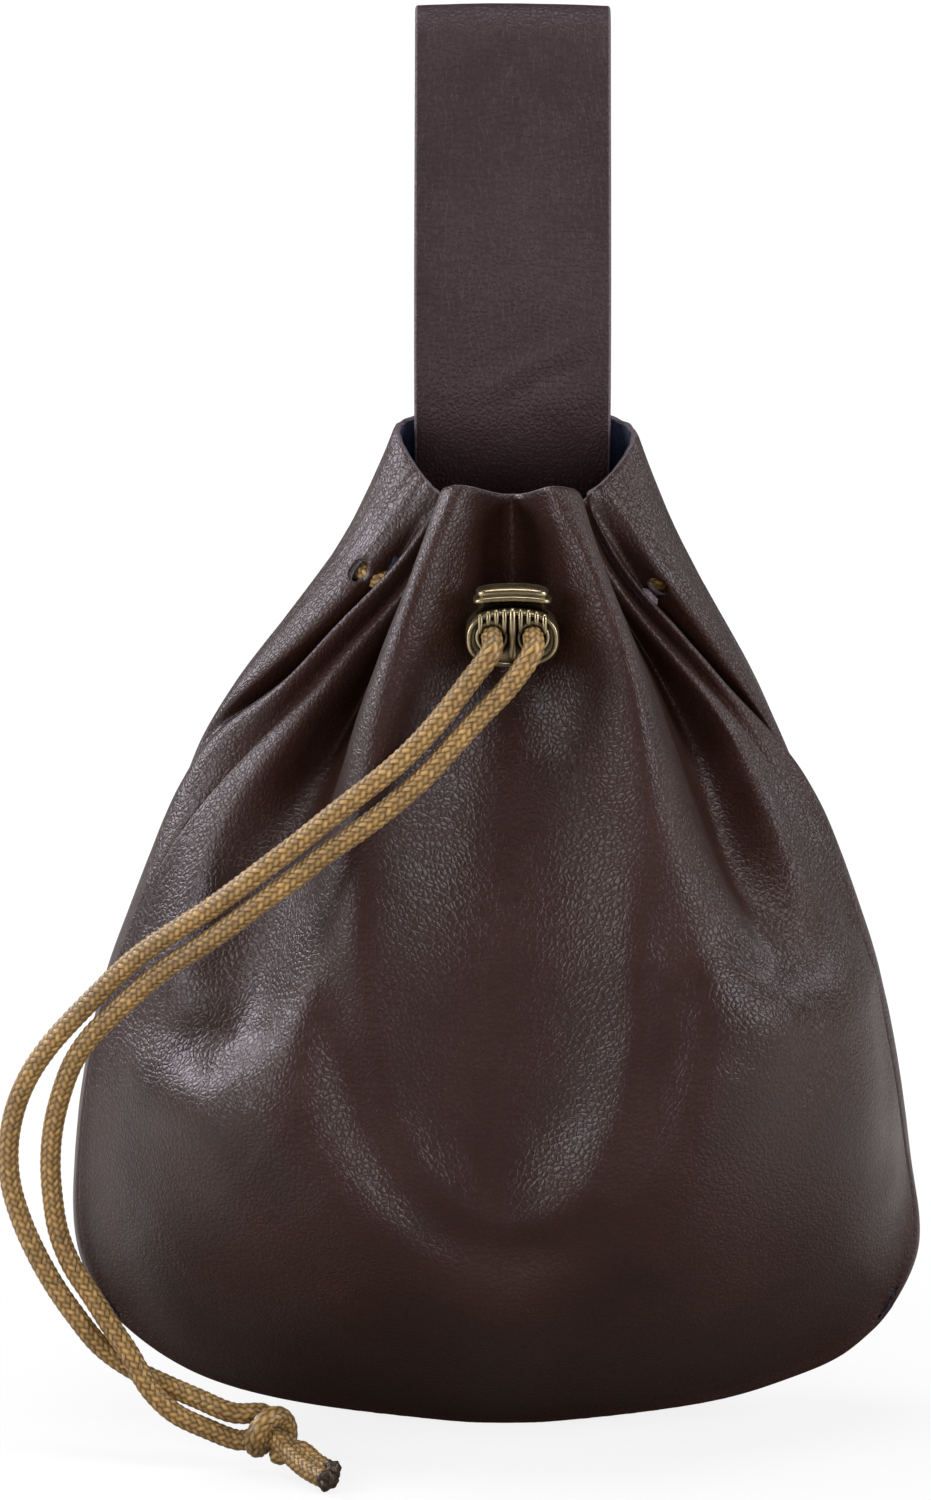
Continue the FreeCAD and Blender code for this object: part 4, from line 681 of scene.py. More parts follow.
def cut_hole(panel, verts, centre, radius):
    """Round off the verts about a hole; gives the cells to drop and the wall faces."""
    points, normals = panel.points, panel.normals
    nu, nv = points.shape[:2]
    layer = nu * nv
    apart = np.linalg.norm(points - np.array(centre), axis=2)
    i0, j0 = np.unravel_index(np.argmin(apart), (nu, nv))
    offset = points - points[i0, j0]
    radial = offset - (offset @ normals[i0, j0])[..., None] * normals[i0, j0]
    distance = np.linalg.norm(radial, axis=2)
    gone = (np.linalg.norm(offset, axis=2) < 1.35 * radius) & (distance < radius)
    cut = gone[:-1, :-1] | gone[1:, :-1] | gone[:-1, 1:] | gone[1:, 1:]
    touched = np.zeros_like(gone)
    touched[:-1, :-1] |= cut
    touched[1:, :-1] |= cut
    touched[:-1, 1:] |= cut
    touched[1:, 1:] |= cut
    for i, j in np.argwhere(touched & ~gone):
        shift = radial[i, j] / (distance[i, j] + 1e-9) * (radius - distance[i, j])
        verts[i * nv + j] += shift - normals[i, j] * 0.12
        verts[layer + i * nv + j] += shift
    walls = []
    for i, j in np.argwhere(cut):
        for start, end, (di, dj) in CELL_SIDES:
            ni, nj = i + di, j + dj
            if 0 <= ni < nu - 1 and 0 <= nj < nv - 1 and not cut[ni, nj]:
                a = (i + start[0]) * nv + j + start[1]
                b = (i + end[0]) * nv + j + end[1]
                walls.append((a, b, layer + b, layer + a))
    return cut, walls


def panel_object(name, panel, holes=()):
    """A panel given its thickness, seam roll, raw rim and holes."""
    points, normals, seam = panel.points, panel.normals, panel.seam
    nu, nv = points.shape[:2]
    layer = nu * nv
    dip = seam_dip(seam)[..., None]
    outer = points - normals * dip
    thick = LEATHER_THICK - 0.55 * np.exp(-(seam / 1.2) ** 2)[..., None]
    inner = points - normals * np.maximum(thick, dip + 0.35)

    # the cut edge at the mouth is slightly rounded
    upward = points[:, -1] - points[:, -2]
    upward /= np.linalg.norm(upward, axis=1, keepdims=True)
    rim_normals = normals[:, -1]
    bevel, edge_in, edge_up = 0.14, 0.10, 0.12
    outer[:, -1] -= rim_normals * bevel
    inner[:, -1] += rim_normals * bevel
    edge_outer = outer[:, -1] - rim_normals * edge_in + upward * edge_up
    edge_inner = inner[:, -1] + rim_normals * edge_in + upward * edge_up
    flatten_foot(outer)
    flatten_foot(inner)
    verts = np.concatenate([outer.reshape(-1, 3), inner.reshape(-1, 3), edge_outer, edge_inner])

    corner = (np.arange(nu - 1)[:, None] * nv + np.arange(nv - 1)[None]).ravel()
    quads = np.stack([corner, corner + nv, corner + nv + 1, corner + 1], 1)
    middle = points[nu // 2, nv // 2]
    facing = np.cross(points[nu // 2 + 1, nv // 2] - middle, points[nu // 2, nv // 2 + 1] - middle)
    winding = 1 if facing @ normals[nu // 2, nv // 2] > 0 else -1
    quads = quads[:, ::winding]

    kept = np.ones((nu - 1, nv - 1), bool)
    walls = []
    for centre, radius in holes:
        cut, hole_walls = cut_hole(panel, verts, centre, radius)
        kept &= ~cut
        walls += hole_walls
    kept = kept.ravel()
    OUTSIDE, BACKING, EDGE = range(3)
    faces = [quads[kept], (quads[:, ::-1] + layer)[kept]]
    index = [np.full(kept.sum(), OUTSIDE), np.full(kept.sum(), BACKING)]
    if walls:
        faces.append(np.array(walls))
        index.append(np.full(len(walls), EDGE))

    columns = np.arange(nu) * nv
    rows = np.arange(nv)
    rim_outer = 2 * layer + np.arange(nu)
    rim_inner = rim_outer + nu
    last = (nu - 1) * nv + rows
    strips = [
        (columns + nv - 1, rim_outer, EDGE), (rim_outer, rim_inner, EDGE),
        (rim_inner, layer + columns + nv - 1, EDGE),
        (layer + columns, columns, BACKING), (rows, layer + rows, BACKING),
        (layer + last, last, BACKING),
    ]
    for a, b, slot in strips:
        strip = np.stack([a[:-1], a[1:], b[1:], b[:-1]], 1)
        faces.append(strip[:, ::winding])
        index.append(np.full(len(strip), slot))
    return mesh_object(name, verts, np.concatenate(faces), (leather, backing, cut_edge),
                       np.concatenate(index))


# ----------------------------------------------------------------- materials
class Nodes:
    """A node tree with short calls that add and join nodes. Sockets given as values
    are linked; sizes inside materials are in metres, texture scales per metre."""

    def __init__(self, tree):
        self.tree = tree

    def set(self, node, inputs):
        for key, value in inputs.items():
            if isinstance(value, bpy.types.NodeSocket):
                self.tree.links.new(value, node.inputs[key])
            else:
                node.inputs[key].default_value = value

    def add(self, kind, inputs=None, **settings):
        node = self.tree.nodes.new("ShaderNode" + kind)
        for key, value in settings.items():
            setattr(node, key, value)
        self.set(node, inputs or {})
        return node

    def object_place(self):
        return self.add("TexCoord").outputs["Object"]

    def noise(self, place, scale, detail, roughness=0.5, output="Fac"):
        return self.add("TexNoise", {"Vector": place, "Scale": scale, "Detail": detail,
                                     "Roughness": roughness}).outputs[output]

    def ramp(self, factor, stops):
        """Colour ramp; stops are (position, colour)."""
        node = self.add("ValToRGB", {"Fac": factor})
        elements = node.color_ramp.elements
        while len(elements) < len(stops):
            elements.new(0.5)
        for element, (position, color) in zip(elements, stops):
            element.position = position
            element.color = (*color, 1)
        return node.outputs["Color"]

    def bump(self, height, strength, distance):
        return self.add("Bump", {"Height": height, "Strength": strength,
                                 "Distance": distance}).outputs["Normal"]

    def map_range(self, value, to, source=(0.0, 1.0), **settings):
        inputs = {"Value": value, "From Min": source[0], "From Max": source[1],
                  "To Min": to[0], "To Max": to[1]}
        return self.add("MapRange", inputs, **settings).outputs[0]

    def math(self, operation, *values):
        return self.add("Math", dict(enumerate(values)), operation=operation).outputs[0]

    def multiply(self, amount, first, second):
        inputs = {"Fac": amount, "Color1": first, "Color2": second}
        return self.add("MixRGB", inputs, blend_type="MULTIPLY").outputs["Color"]


def new_material(name):
    """The material, its nodes and its Principled surface."""
    material = bpy.data.materials.new(name)
    material.use_nodes = True
    tree = material.node_tree
    return material, Nodes(tree), tree.nodes["Principled BSDF"]


def leather_material(name, dark, mid, light, rough, grain):
    """Pebbled leather: cloudy colour, rounded cells parted by fine valleys, with painted shade in
    the valleys.
    """
    material, nodes, surface = new_material(name)
    cell_size = 0.95                         # millimetres
    place = nodes.object_place()
    # the cells are warped so that no two match
    warp = nodes.noise(place, scale=420.0, detail=2.0, output="Color")
    warped = nodes.add("VectorMath", {0: warp, 1: (0.0010, 0.0010, 0.0010), 2: place},
                       operation="MULTIPLY_ADD").outputs[0]
    valley = nodes.add("TexVoronoi", {"Vector": warped, "Scale": 1000.0 / cell_size},
                       feature="DISTANCE_TO_EDGE").outputs["Distance"]
    cells = nodes.ramp(valley, [(0.0, (0, 0, 0)), (0.10, (0.45, 0.45, 0.45)),
                                (0.32, (0.9, 0.9, 0.9)), (0.6, (1, 1, 1))])
    fine = nodes.noise(place, scale=2600.0, detail=4.0, roughness=0.65)
    patches = nodes.noise(place, scale=45.0, detail=4.0, roughness=0.55)
    # grain is stronger in some areas of the hide than in others
    amount = nodes.map_range(patches, source=(0.3, 0.7), to=(0.55, 1.15))
    pebble_strength = 0.55 * grain
    pebbles = nodes.bump(cells, strength=pebble_strength, distance=0.00016)
    normal = nodes.bump(fine, strength=0.35 * grain, distance=0.00006)
    nodes.set(normal.node, {"Normal": pebbles})
    nodes.set(pebbles.node, {"Strength": nodes.math("MULTIPLY", amount, pebble_strength)})
    ground = nodes.ramp(patches, [(0.28, dark), (0.52, mid), (0.78, light)])
    # painted shade: the colour is darker in the valleys between the grain cells
    shade = nodes.ramp(valley, [(0.0, (0.35, 0.32, 0.32)), (0.25, (1, 1, 1))])
    nodes.set(surface, {
        "Base Color": nodes.multiply(0.35, ground, shade),
        "Normal": normal,
        "Roughness": nodes.map_range(patches, source=(0.3, 0.7), to=(rough - 0.05, rough + 0.07)),
        "IOR": 1.5,
        "Specular IOR Level": 0.5,
        "Specular Tint": (0.93, 0.88, 0.98, 1),
    })
    return material


def backing_material():
    """Dark blue fibrous inside of the leather."""
    material, nodes, surface = new_material("leather_backing")
    place = nodes.object_place()
    fibres = nodes.noise(place, scale=1500.0, detail=5.0, roughness=0.7)
    waves = nodes.add("TexWave", {"Vector": place, "Scale": 900.0, "Distortion": 3.0})
    nodes.set(surface, {
        "Base Color": nodes.ramp(fibres, [(0.3, (0.008, 0.010, 0.024)),
                                          (0.7, (0.020, 0.026, 0.058))]),
        "Normal": nodes.bump(nodes.math("ADD", fibres, waves.outputs["Fac"]),
                             strength=0.5, distance=0.00012),
        "Roughness": 0.85,
        "Sheen Weight": 0.15,
        "Sheen Tint": (0.35, 0.42, 0.75, 1),
    })
    return material


def speckled_material(name, scale, detail, stops, rough, metallic=None, bump=None):
    """One fine noise drives the colour and, if bump is given, the relief."""
    material, nodes, surface = new_material(name)
    speckle = nodes.noise(nodes.object_place(), scale=scale, detail=detail)
    nodes.set(surface, {"Base Color": nodes.ramp(speckle, stops), "Roughness": rough})
    if bump:
        nodes.set(surface, {"Normal": nodes.bump(speckle, **bump)})
    if metallic is not None:
        nodes.set(surface, {"Metallic": metallic})
    return material


def edge_material():
    return speckled_material("leather_cut_edge", scale=3000.0, detail=3.0,
                             stops=[(0.3, (0.045, 0.035, 0.045)), (0.7, (0.16, 0.13, 0.15))],
                             rough=0.7, bump={"strength": 0.5, "distance": 0.0001})


def cord_material():
    """Waxed braid, coloured by the height and the strand stored on the mesh; the height gives
    painted shade, near black between the strands and lighter on their tops.
    """
    material, nodes, surface = new_material("waxed_braid")
    height = nodes.add("Attribute", attribute_name="braid_h").outputs["Fac"]
    strand = nodes.add("Attribute", attribute_name="braid_c").outputs["Fac"]
    place = nodes.object_place()
    # painted shade: dark deep in the valleys between strands, lighter on the strand tops
    color = nodes.ramp(height, [(0.0, (0.025, 0.014, 0.005)), (0.35, (0.16, 0.092, 0.030)),
                                (0.7, (0.33, 0.205, 0.070)), (1.0, (0.46, 0.30, 0.115))])
    patches = nodes.noise(place, scale=120.0, detail=3.0)
    worn = nodes.ramp(patches, [(0.3, (0.62, 0.60, 0.58)), (0.7, (1.12, 1.1, 1.05))])
    color = nodes.multiply(0.8, color, worn)
    shade = nodes.ramp(strand, [(0.0, (0.72, 0.70, 0.66)), (1.0, (1.15, 1.12, 1.08))])
    fine = nodes.noise(place, scale=5200.0, detail=2.0)
    nodes.set(surface, {
        "Base Color": nodes.multiply(1.0, color, shade),
        "Normal": nodes.bump(fine, strength=0.4, distance=0.00008),
        "Roughness": 0.34,
        "Specular IOR Level": 0.55,
        "Sheen Weight": 0.1,
    })
    return material


def brass_material():
    """Brass, darker and rougher in its corners and hollows, by an occlusion test."""
    material, nodes, surface = new_material("brass_darker_in_hollows")
    bright, dark = (0.50, 0.41, 0.25), (0.06, 0.045, 0.028)
    place = nodes.object_place()
    # darker and rougher where an occlusion test finds other surfaces within 1.2 mm
    open_air = nodes.add("AmbientOcclusion", {"Distance": 0.0012}, samples=6).outputs["AO"]
    openness = nodes.ramp(open_air, [(0.52, (0, 0, 0)), (0.97, (1, 1, 1))])
    clouds = nodes.noise(place, scale=350.0, detail=4.0, roughness=0.6)
    clouds = nodes.map_range(clouds, source=(0.3, 0.65), to=(0.45, 1.1))
    openness_clouds = nodes.math("MULTIPLY", openness, clouds)
    color = nodes.ramp(openness_clouds, [(0.0, dark), (0.55, tuple(0.72 * v for v in bright)),
                                (1.0, bright)])
    fine = nodes.noise(place, scale=2500.0, detail=2.0)
    nodes.set(surface, {
        "Base Color": color,
        "Roughness": nodes.map_range(openness_clouds, to=(0.55, 0.27)),
        "Normal": nodes.bump(fine, strength=0.25, distance=0.00005),
        "Metallic": 1.0,
    })
    return material


leather = leather_material("leather_outside", dark=(0.0220, 0.0084, 0.0049),
                           mid=(0.0300, 0.0116, 0.0069), light=(0.0375, 0.0155, 0.0098),
                           rough=0.38, grain=1.1)
strap_leather = leather_material("leather_strap", dark=(0.026, 0.0130, 0.0140),
                                 mid=(0.036, 0.0185, 0.0205), light=(0.046, 0.0250, 0.0285),
                                 rough=0.47, grain=1.7)
backing = backing_material()
cut_edge = edge_material()
braid = cord_material()
melted_tip = speckled_material("melted_tip", scale=1400.0, detail=3.0,
                               stops=[(0.35, (0.018, 0.010, 0.006)), (0.7, (0.06, 0.035, 0.018))],
                               rough=0.35, bump={"strength": 0.6, "distance": 0.0002})
brass = brass_material()
thread = speckled_material("waxed_thread", scale=4000.0, detail=2.0,
                           stops=[(0.3, (0.010, 0.006, 0.005)), (0.7, (0.045, 0.026, 0.020))],
                           rough=0.6, bump={"strength": 0.6, "distance": 0.0001})
steel = speckled_material("spring_wire", scale=3000.0, detail=2.0,
                          stops=[(0.3, (0.35, 0.35, 0.37)), (0.7, (0.6, 0.6, 0.62))],
                          rough=0.3, metallic=1.0)

front_skin = panel_object("front_skin", Panel(FRONT_GRID, outward=-1, step=FRONT_STEP,
                                              gather=0.04, relief=front_relief))
back_skin = panel_object("back_skin", Panel(BACK_GRID, outward=1, step=BACK_STEP, gather=0.10,
                                            holes=BACK_HOLES), BACK_HOLES)
strap_edge = edge_material()


# ----------------------------------------------------------------- belt loop
def strap_path(y_front, y_back, top):
    """Centre line (y, z): up inside the mouth, over, and down behind the pouch."""
    half = STRAP_THICK / 2
    radius = (y_back - y_front) / 2 - half
    y_middle = (y_front + y_back) / 2
    y_near, y_far = y_front + half, y_back - half
    bend = top - radius - half
    rising = [(20.9, 153.0), (18.6, 160.0), (16.2, 167.0), (14.6, 172.0), (y_near + 0.1, 178.0),
              (y_near, 190.0), (y_near, 215.0), (y_near, bend - 2)]
    over = [(y_middle - radius * math.cos(a), bend + radius * math.sin(a))
            for a in np.linspace(0, math.pi, 13)]
    falling = [(y_far, bend - 2), (y_far, 215.0), (y_far, 190.0), (y_far + 0.1, 180.0),
               (22.1, 172.5), (23.2, 167.0), (25.3, 160.0), (27.4, 153.5)]
    return np.array(rising + over + falling)


def strap():
    """Leather strip of the belt loop, with rounded long edges."""
    low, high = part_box("belt_loop")
    x_middle, half_width = 500 * (low.x + high.x), 500 * (high.x - low.x)
    count, lines, edge_rings = 300, 67, 5
    path, lengths = spread(strap_path(low.y * 1000, high.y * 1000, high.z * 1000), count)
    path = smooth(path, 8)
    along = np.gradient(path, axis=0)
    along /= np.linalg.norm(along, axis=1, keepdims=True)
    # the normals point to the outside of the loop
    normals = np.stack([np.zeros(count), -along[:, 1], along[:, 0]], 1)
    normals = np.broadcast_to(normals, (lines, count, 3))

    across = np.broadcast_to(np.linspace(-1, 1, lines)[:, None], (lines, count))
    width = half_width - 0.25 + 0.12 * np.sin(lengths / 21.0)
    base = np.stack([x_middle + across * width, np.broadcast_to(path[:, 0], across.shape),
                     np.broadcast_to(path[:, 1], across.shape)], -1)
    height = 0.22 * fbm(base, scale=26.0, seed=1.7) + 0.05 * fbm(base, scale=7.0, seed=4.2)
    # slight cupping across the width
    height += -0.25 * across ** 2 * (np.abs(base[..., 2] - 205) < 60)
    creases = sum(crease(base, *row) for row in STRAP_CREASES)
    front_leg = normals[..., 1] < -0.3
    height += np.where(front_leg, creases, 0.25 * creases)

    middle = base + normals * height[..., None]
    outer = middle + normals * (STRAP_THICK / 2)
    inner = middle - normals * (STRAP_THICK / 2)
    layer = lines * count
    rings, sides = [], []
    stations = np.arange(count)
    for number, (side, line) in enumerate(((-1, 0), (1, lines - 1))):
        columns = [line * count + stations]
        for k in range(edge_rings):
            angle = math.pi * (k + 1) / (edge_rings + 1)
            rings.append(middle[line] + normals[line] * (STRAP_THICK / 2 * math.cos(angle))
                         + X_AXIS * (side * STRAP_THICK * 0.28 * math.sin(angle)))
            columns.append(2 * layer + (number * edge_rings + k) * count + stations)
        columns.append(layer + line * count + stations)
        sides.append(columns)
    verts = np.concatenate([outer.reshape(-1, 3), inner.reshape(-1, 3)] + rings)

    faces, index = [], []
    OUTSIDE, BACKING, EDGE = range(3)
    for i in range(lines - 1):
        for j in range(count - 1):
            a = i * count + j
            b = a + count
            faces += [(a, a + 1, b + 1, b),
                      (layer + a, layer + b, layer + b + 1, layer + a + 1)]
            index += [OUTSIDE, BACKING]
    for columns, turn in zip(sides, (1, -1)):
        for a, b in zip(columns, columns[1:]):
            for j in range(count - 1):
                faces.append((a[j], b[j], b[j + 1], a[j + 1])[::turn])
    for j, turn in ((0, 1), (count - 1, -1)):
        for i in range(lines - 1):
            a, b = i * count + j, (i + 1) * count + j
            faces.append((a, b, layer + b, layer + a)[::turn])
        faces.append([column[j] for column in sides[0]][::-turn])
        faces.append([column[j] for column in sides[1]][::turn])
    index += [EDGE] * (len(faces) - len(index))
    return mesh_object("strap_skin", verts, faces, (strap_leather, backing, strap_edge), index)


strap_skin = strap()


# -------------------------------------------------------------- braided cord
def braid_height(angle, length):
    """Two-over two-under round braid: height 0 to 1, and which strand is on top."""
    a = angle / (2 * math.pi) * BRAID_STRANDS
    b = length / BRAID_PITCH
    u, v = a + b, a - b
    i, j = np.floor(u), np.floor(v)
    u_part, v_part = u - i, v - j
    cell = np.mod(i + j, 4)
    first_on_top = cell < 2

    def strand_height(across, along):
        rounded = np.sqrt(np.clip(1 - (2 * across - 1) ** 2, 0, 1)) ** 0.8
        return rounded * np.sin(math.pi * np.clip(along, 0, 1)) ** 0.55

    # a strand that is on top floats over two cells
    first = strand_height(u_part, np.where(cell == 0, v_part * 0.5, 0.5 + v_part * 0.5))
    second = strand_height(v_part, np.where(cell == 2, u_part * 0.5, 0.5 + u_part * 0.5))
    height = np.where(first_on_top, first, second)
    strand = np.where(first_on_top, np.mod(i, BRAID_STRANDS),
                      BRAID_STRANDS + np.mod(j, BRAID_STRANDS))
    return height, strand


def cord_run(points, step):
    """Path, lengths and frames of a cord through the points."""
    path, lengths = resample(smooth_curve(points), step)
    return (path, lengths, *frames(path))


def cord_piece(name, run, tip=False):
    """Braided tube along a run; with tip, its far end is fused and a little ragged."""
    path, lengths, along, side, third = run
    angle = full_turn(CORD_SIDES)[None]
    length = lengths[:, None]
    height, strand = braid_height(angle, length)
    radius = CORD_RADIUS - BRAID_RELIEF * (1 - height)
    fused = np.zeros(len(lengths))
    if tip:
        fused = np.clip((lengths - (lengths[-1] - 2.4)) / 1.2, 0, 1)
        melt = fused[:, None]
        ragged = 0.22 * np.sin(angle * 3 + length * 2.1) + 0.12 * np.sin(angle * 7 - length * 3.0)
        radius = radius * (1 - melt) + melt * (CORD_RADIUS * 0.98 + ragged)
        end = np.clip((length - (lengths[-1] - 0.7)) / 0.7, 0, 1)
        radius *= 1 - 0.38 * end ** 2
        height = height * (1 - melt)
    turned = (np.cos(angle)[..., None] * side[:, None] + np.sin(angle)[..., None] * third[:, None])
    rings = path[:, None] + radius[..., None] * turned
    rings[..., 2] = np.maximum(rings[..., 2], 0.12)      # stays above the floor

    verts, faces = loft(rings, close_ends=False)
    index = np.repeat((fused[:-1] > 0.5).astype(int), CORD_SIDES).tolist()
    last = len(path) - 1
    for station in (0, last):
        melted = tip and station == last
        verts.append(tuple(path[station] + (along[station] * 0.5 if melted else 0)))
        for k in range(CORD_SIDES):
            face = (station * CORD_SIDES + k, station * CORD_SIDES + (k + 1) % CORD_SIDES,
                    len(verts) - 1)
            faces.append(face if station else face[::-1])
            index.append(int(melted))
    ob = mesh_object(name, verts, faces, (braid, melted_tip), index)
    strand_shade = np.sin(strand * 2.3 + 0.7) * 0.5 + 0.5
    # the last two values belong to the centres of the two ends
    for attribute, values, at_ends in (("braid_h", height, 0.1), ("braid_c", strand_shade, 0.3)):
        data = ob.data.attributes.new(attribute, "FLOAT", "POINT").data
        data.foreach_set("value", np.r_[values.ravel(), at_ends, at_ends].astype(np.float32))
    return ob


def knot_coil():
    """Points of the coil that the left cord makes round the knot's axis."""
    centre = np.array([-39.6, -30.3, 6.3])
    axis = np.array([0.80, -0.55, -0.16])
    axis /= np.linalg.norm(axis)
    side = np.cross(axis, Z_AXIS)
    side /= np.linalg.norm(side)
    third = np.cross(side, axis)
    turns, radius, first_angle, start, length, steps = 1.35, 3.15, 2.6, -3.2, 5.6, 14
    points = []
    for k in range(steps + 1):
        part = k / steps
        angle = first_angle + turns * 2 * math.pi * part
        points.append(tuple(centre + axis * (start + length * part)
                            + side * radius * math.cos(angle) + third * radius * math.sin(angle)))
    return points


lead_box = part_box("cord_lead_left")
LEAD_Z = 500 * (lead_box[0] + lead_box[1]).z
LEAD_Y = (-0.9, -7.0, -13.0, -19.0, -25.0, -31.0, -36.6)


def split_cord(side, x, tail, end, knot):
    """One free cord from the neck to the knot, parted into an upper and a lower
    object. The frames are shared, so the braid runs on through the split."""
    run = cord_run([(x, y, LEAD_Z) for y in LEAD_Y] + tail + end + knot, step=0.23)
    cut = np.argmin(np.linalg.norm(run[0] - np.array(tail[6]), axis=1))
    upper = cord_piece("cord_upper_" + side, [part[:cut + 1] for part in run])
    lower = cord_piece("cord_lower_" + side, [part[cut:] for part in run], tip=True)
    return upper, lower


upper_left, lower_left = split_cord("left", LEAD_X[0], TAIL_LEFT, END_LEFT,
                                    knot_coil() + COIL_END)
upper_right, lower_right = split_cord("right", LEAD_X[1], TAIL_RIGHT, END_RIGHT, KNOT_RIGHT)
neck_cord = cord_piece("cord_neck", cord_run(NECK_PATH, step=0.26))


# --------------------------------------------------------------- seam thread
def stitch(points):
    """One stitch, thinner at its ends."""
    _, side, third = frames(points)
    rings = []
    for j, point in enumerate(points):
        part = j / (len(points) - 1)
        radius = 0.17 * math.sqrt(max(0.06, 1 - (2 * part - 1) ** 4))
        rings.append(ring(point, radius, side[j], third[j], count=8))
    return loft(rings)


def seam_stitches():
    """Stitches along the side seams and the bottom seam, just inside the edge."""
    pitch, length, first, inset = 4.0, 2.7, 2.0, 0.55
    middle = np.array([0.0, 0.0, 80.0])
    parts = []
    for seam in ("left", "right", "bottom"):
        knots = {"left": FRONT_GRID[0], "right": FRONT_GRID[-1], "bottom": FRONT_GRID[:, 0]}[seam]
        where = np.linspace(0, len(knots) - 1, 60 * (len(knots) - 1) + 1)
        line, lengths = resample(spline_weights(len(knots), where) @ knots, 0.1)
        if seam == "bottom":
            inward = Z_AXIS + 0 * line
            lowest, widest = 0.6, 50
        else:
            inward = (middle - line) * (1, 0, 1)
            lowest, widest = 22, math.inf
        line = line + inset * inward / np.linalg.norm(inward, axis=1, keepdims=True)
        for i in range(int((lengths[-1] - 4) / pitch)):
            start, end = first + i * pitch, first + i * pitch + length
            inside_stitch = (lengths >= start) & (lengths <= end)
            points = line[inside_stitch][::max(1, inside_stitch.sum() // 6)]
            if (len(points) >= 4 and points[:, 2].min() >= lowest
                    and np.abs(points[:, 0]).max() <= widest):
                parts.append(stitch(points))
    return mesh_object("seam_stitches", *join(parts), (thread,))


stitches = seam_stitches()

# ----------------------------------------------------------------- cord lock
lock_low, lock_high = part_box("lock_body")
LOCK_X = 500 * (lock_low.x + lock_high.x)
LOCK_Z = LEAD_Z
LOCK_DEPTH = 9.0
LOCK_BACK = lock_high.y * 1000
LOCK_FACE = LOCK_BACK - LOCK_DEPTH
LOCK_Y = (LOCK_FACE + LOCK_BACK) / 2
DRUM_WIDTH, DRUM_HEIGHT = 7.7, 4.8           # half sizes of the drum
DRUM_RISE = -0.4                             # drum centre above the cords
DRUM_POWER = 2.5                             # squareness of its outline
# scale of the outline, distance behind the face
DRUM_PROFILE = [
    (0.55, 0.0), (0.93, 0.0), (0.975, 0.25), (1.0, 0.8), (1.0, 3.0), (0.985, 4.5),
    (1.0, 6.0), (1.0, 8.2), (0.95, LOCK_DEPTH), (0.5, LOCK_DEPTH),
]
LIP_INSET = 0.55
REED_PITCH = 1.32
# lower end of each reed above the cords, from the middle reed outwards
REED_FEET = (-3.4, 0.6, 1.9, 1.9, 0.6)
# half width, half depth, distance below the button's top
BUTTON_PROFILE = [
    (5.6, 1.55, 4.0), (5.6, 1.55, 2.2), (6.35, 3.3, 2.2), (6.5, 3.45, 2.0), (6.5, 3.45, 1.65),
    (6.3, 3.3, 1.45), (5.75, 3.1, 1.38), (5.75, 3.1, 1.18), (5.95, 3.3, 1.05),
    (5.95, 3.3, 0.45), (5.7, 3.05, 0.16), (5.0, 2.4, 0.0), (2.5, 1.2, -0.08),
]


def superellipse(angle, width, height, power):
    c, s = math.cos(angle), math.sin(angle)
    return (width * math.copysign(abs(c) ** (2 / power), c),
            height * math.copysign(abs(s) ** (2 / power), s))


def drum_point(angle, width, height, y):
    x, z = superellipse(angle, width, height, DRUM_POWER)
    return LOCK_X + x, y, LOCK_Z + DRUM_RISE + z


def level_ring(width, depth, z, count=64, dome=0.0):
    """Rounded rectangle about the lock's middle; dome lowers its left and right."""
    points = []
    for angle in full_turn(count):
        x, y = superellipse(angle, width, depth, power=5.0)
        points.append((LOCK_X + x, LOCK_Y + y, z - dome * (x / 6.0) ** 2))
    return points


def torus(centre, radius, tube_radius):
    """Ring facing along Y."""
    rings = []
    for a in full_turn(40):
        out = math.cos(a) * X_AXIS + math.sin(a) * Z_AXIS
        rings.append(ring(centre + radius * out, tube_radius, out, Y_AXIS, count=10))
    return loft(rings + rings[:1], close_ends=False)


def carve(blank, tools):
    """The blank with each tool taken out of it."""
    made = []
    for k, (verts, faces) in enumerate([blank] + tools):
        mesh = bpy.data.meshes.new("carve_%d" % k)
        mesh.from_pydata([(x * MM, y * MM, z * MM) for x, y, z in verts], [], faces)
        face_outward(mesh)
        ob = bpy.data.objects.new("carve_%d" % k, mesh)
        bpy.context.scene.collection.objects.link(ob)
        made.append(ob)
    for k, tool in enumerate(made[1:]):
        cut = made[0].modifiers.new("cut_%d" % k, "BOOLEAN")
        cut.operation = "DIFFERENCE"
        cut.solver = "EXACT"
        cut.object = tool
    bpy.context.view_layer.update()
    carved = made[0].evaluated_get(bpy.context.evaluated_depsgraph_get()).to_mesh()
    bm = bmesh.new()
    bm.from_mesh(carved)
    bmesh.ops.triangulate(bm, faces=[face for face in bm.faces if len(face.verts) > 4])
    verts = [tuple(1000 * c for c in vert.co) for vert in bm.verts]
    bm.verts.index_update()
    faces = [[vert.index for vert in face.verts] for face in bm.faces]
    bm.free()
    for ob in made:
        mesh = ob.data
        bpy.data.objects.remove(ob)
        bpy.data.meshes.remove(mesh)
    return verts, faces


def drum():
    """Lock body with the button's pocket, the spring's well and two cord bores."""
    blank = loft([[drum_point(a, DRUM_WIDTH * scale, DRUM_HEIGHT * scale, LOCK_FACE + depth)
                   for a in full_turn(96)] for scale, depth in DRUM_PROFILE])
    pocket = loft([level_ring(5.85, 1.75, z, count=48) for z in (LOCK_Z - 3.0, LOCK_Z + 12.0)])
    well = loft([ring(np.array([LOCK_X, LOCK_Y, z]), 1.65, X_AXIS, Y_AXIS, count=40)
                 for z in (LOCK_Z - 4.93, LOCK_Z + 1.0)])
    bores = [loft([ring(np.array([x, y, LOCK_Z]), 2.1, X_AXIS, Z_AXIS, count=40)
                   for y in (LOCK_FACE - 3.0, LOCK_BACK + 3.0)]) for x in LEAD_X]
    return carve(blank, [pocket, well] + bores)


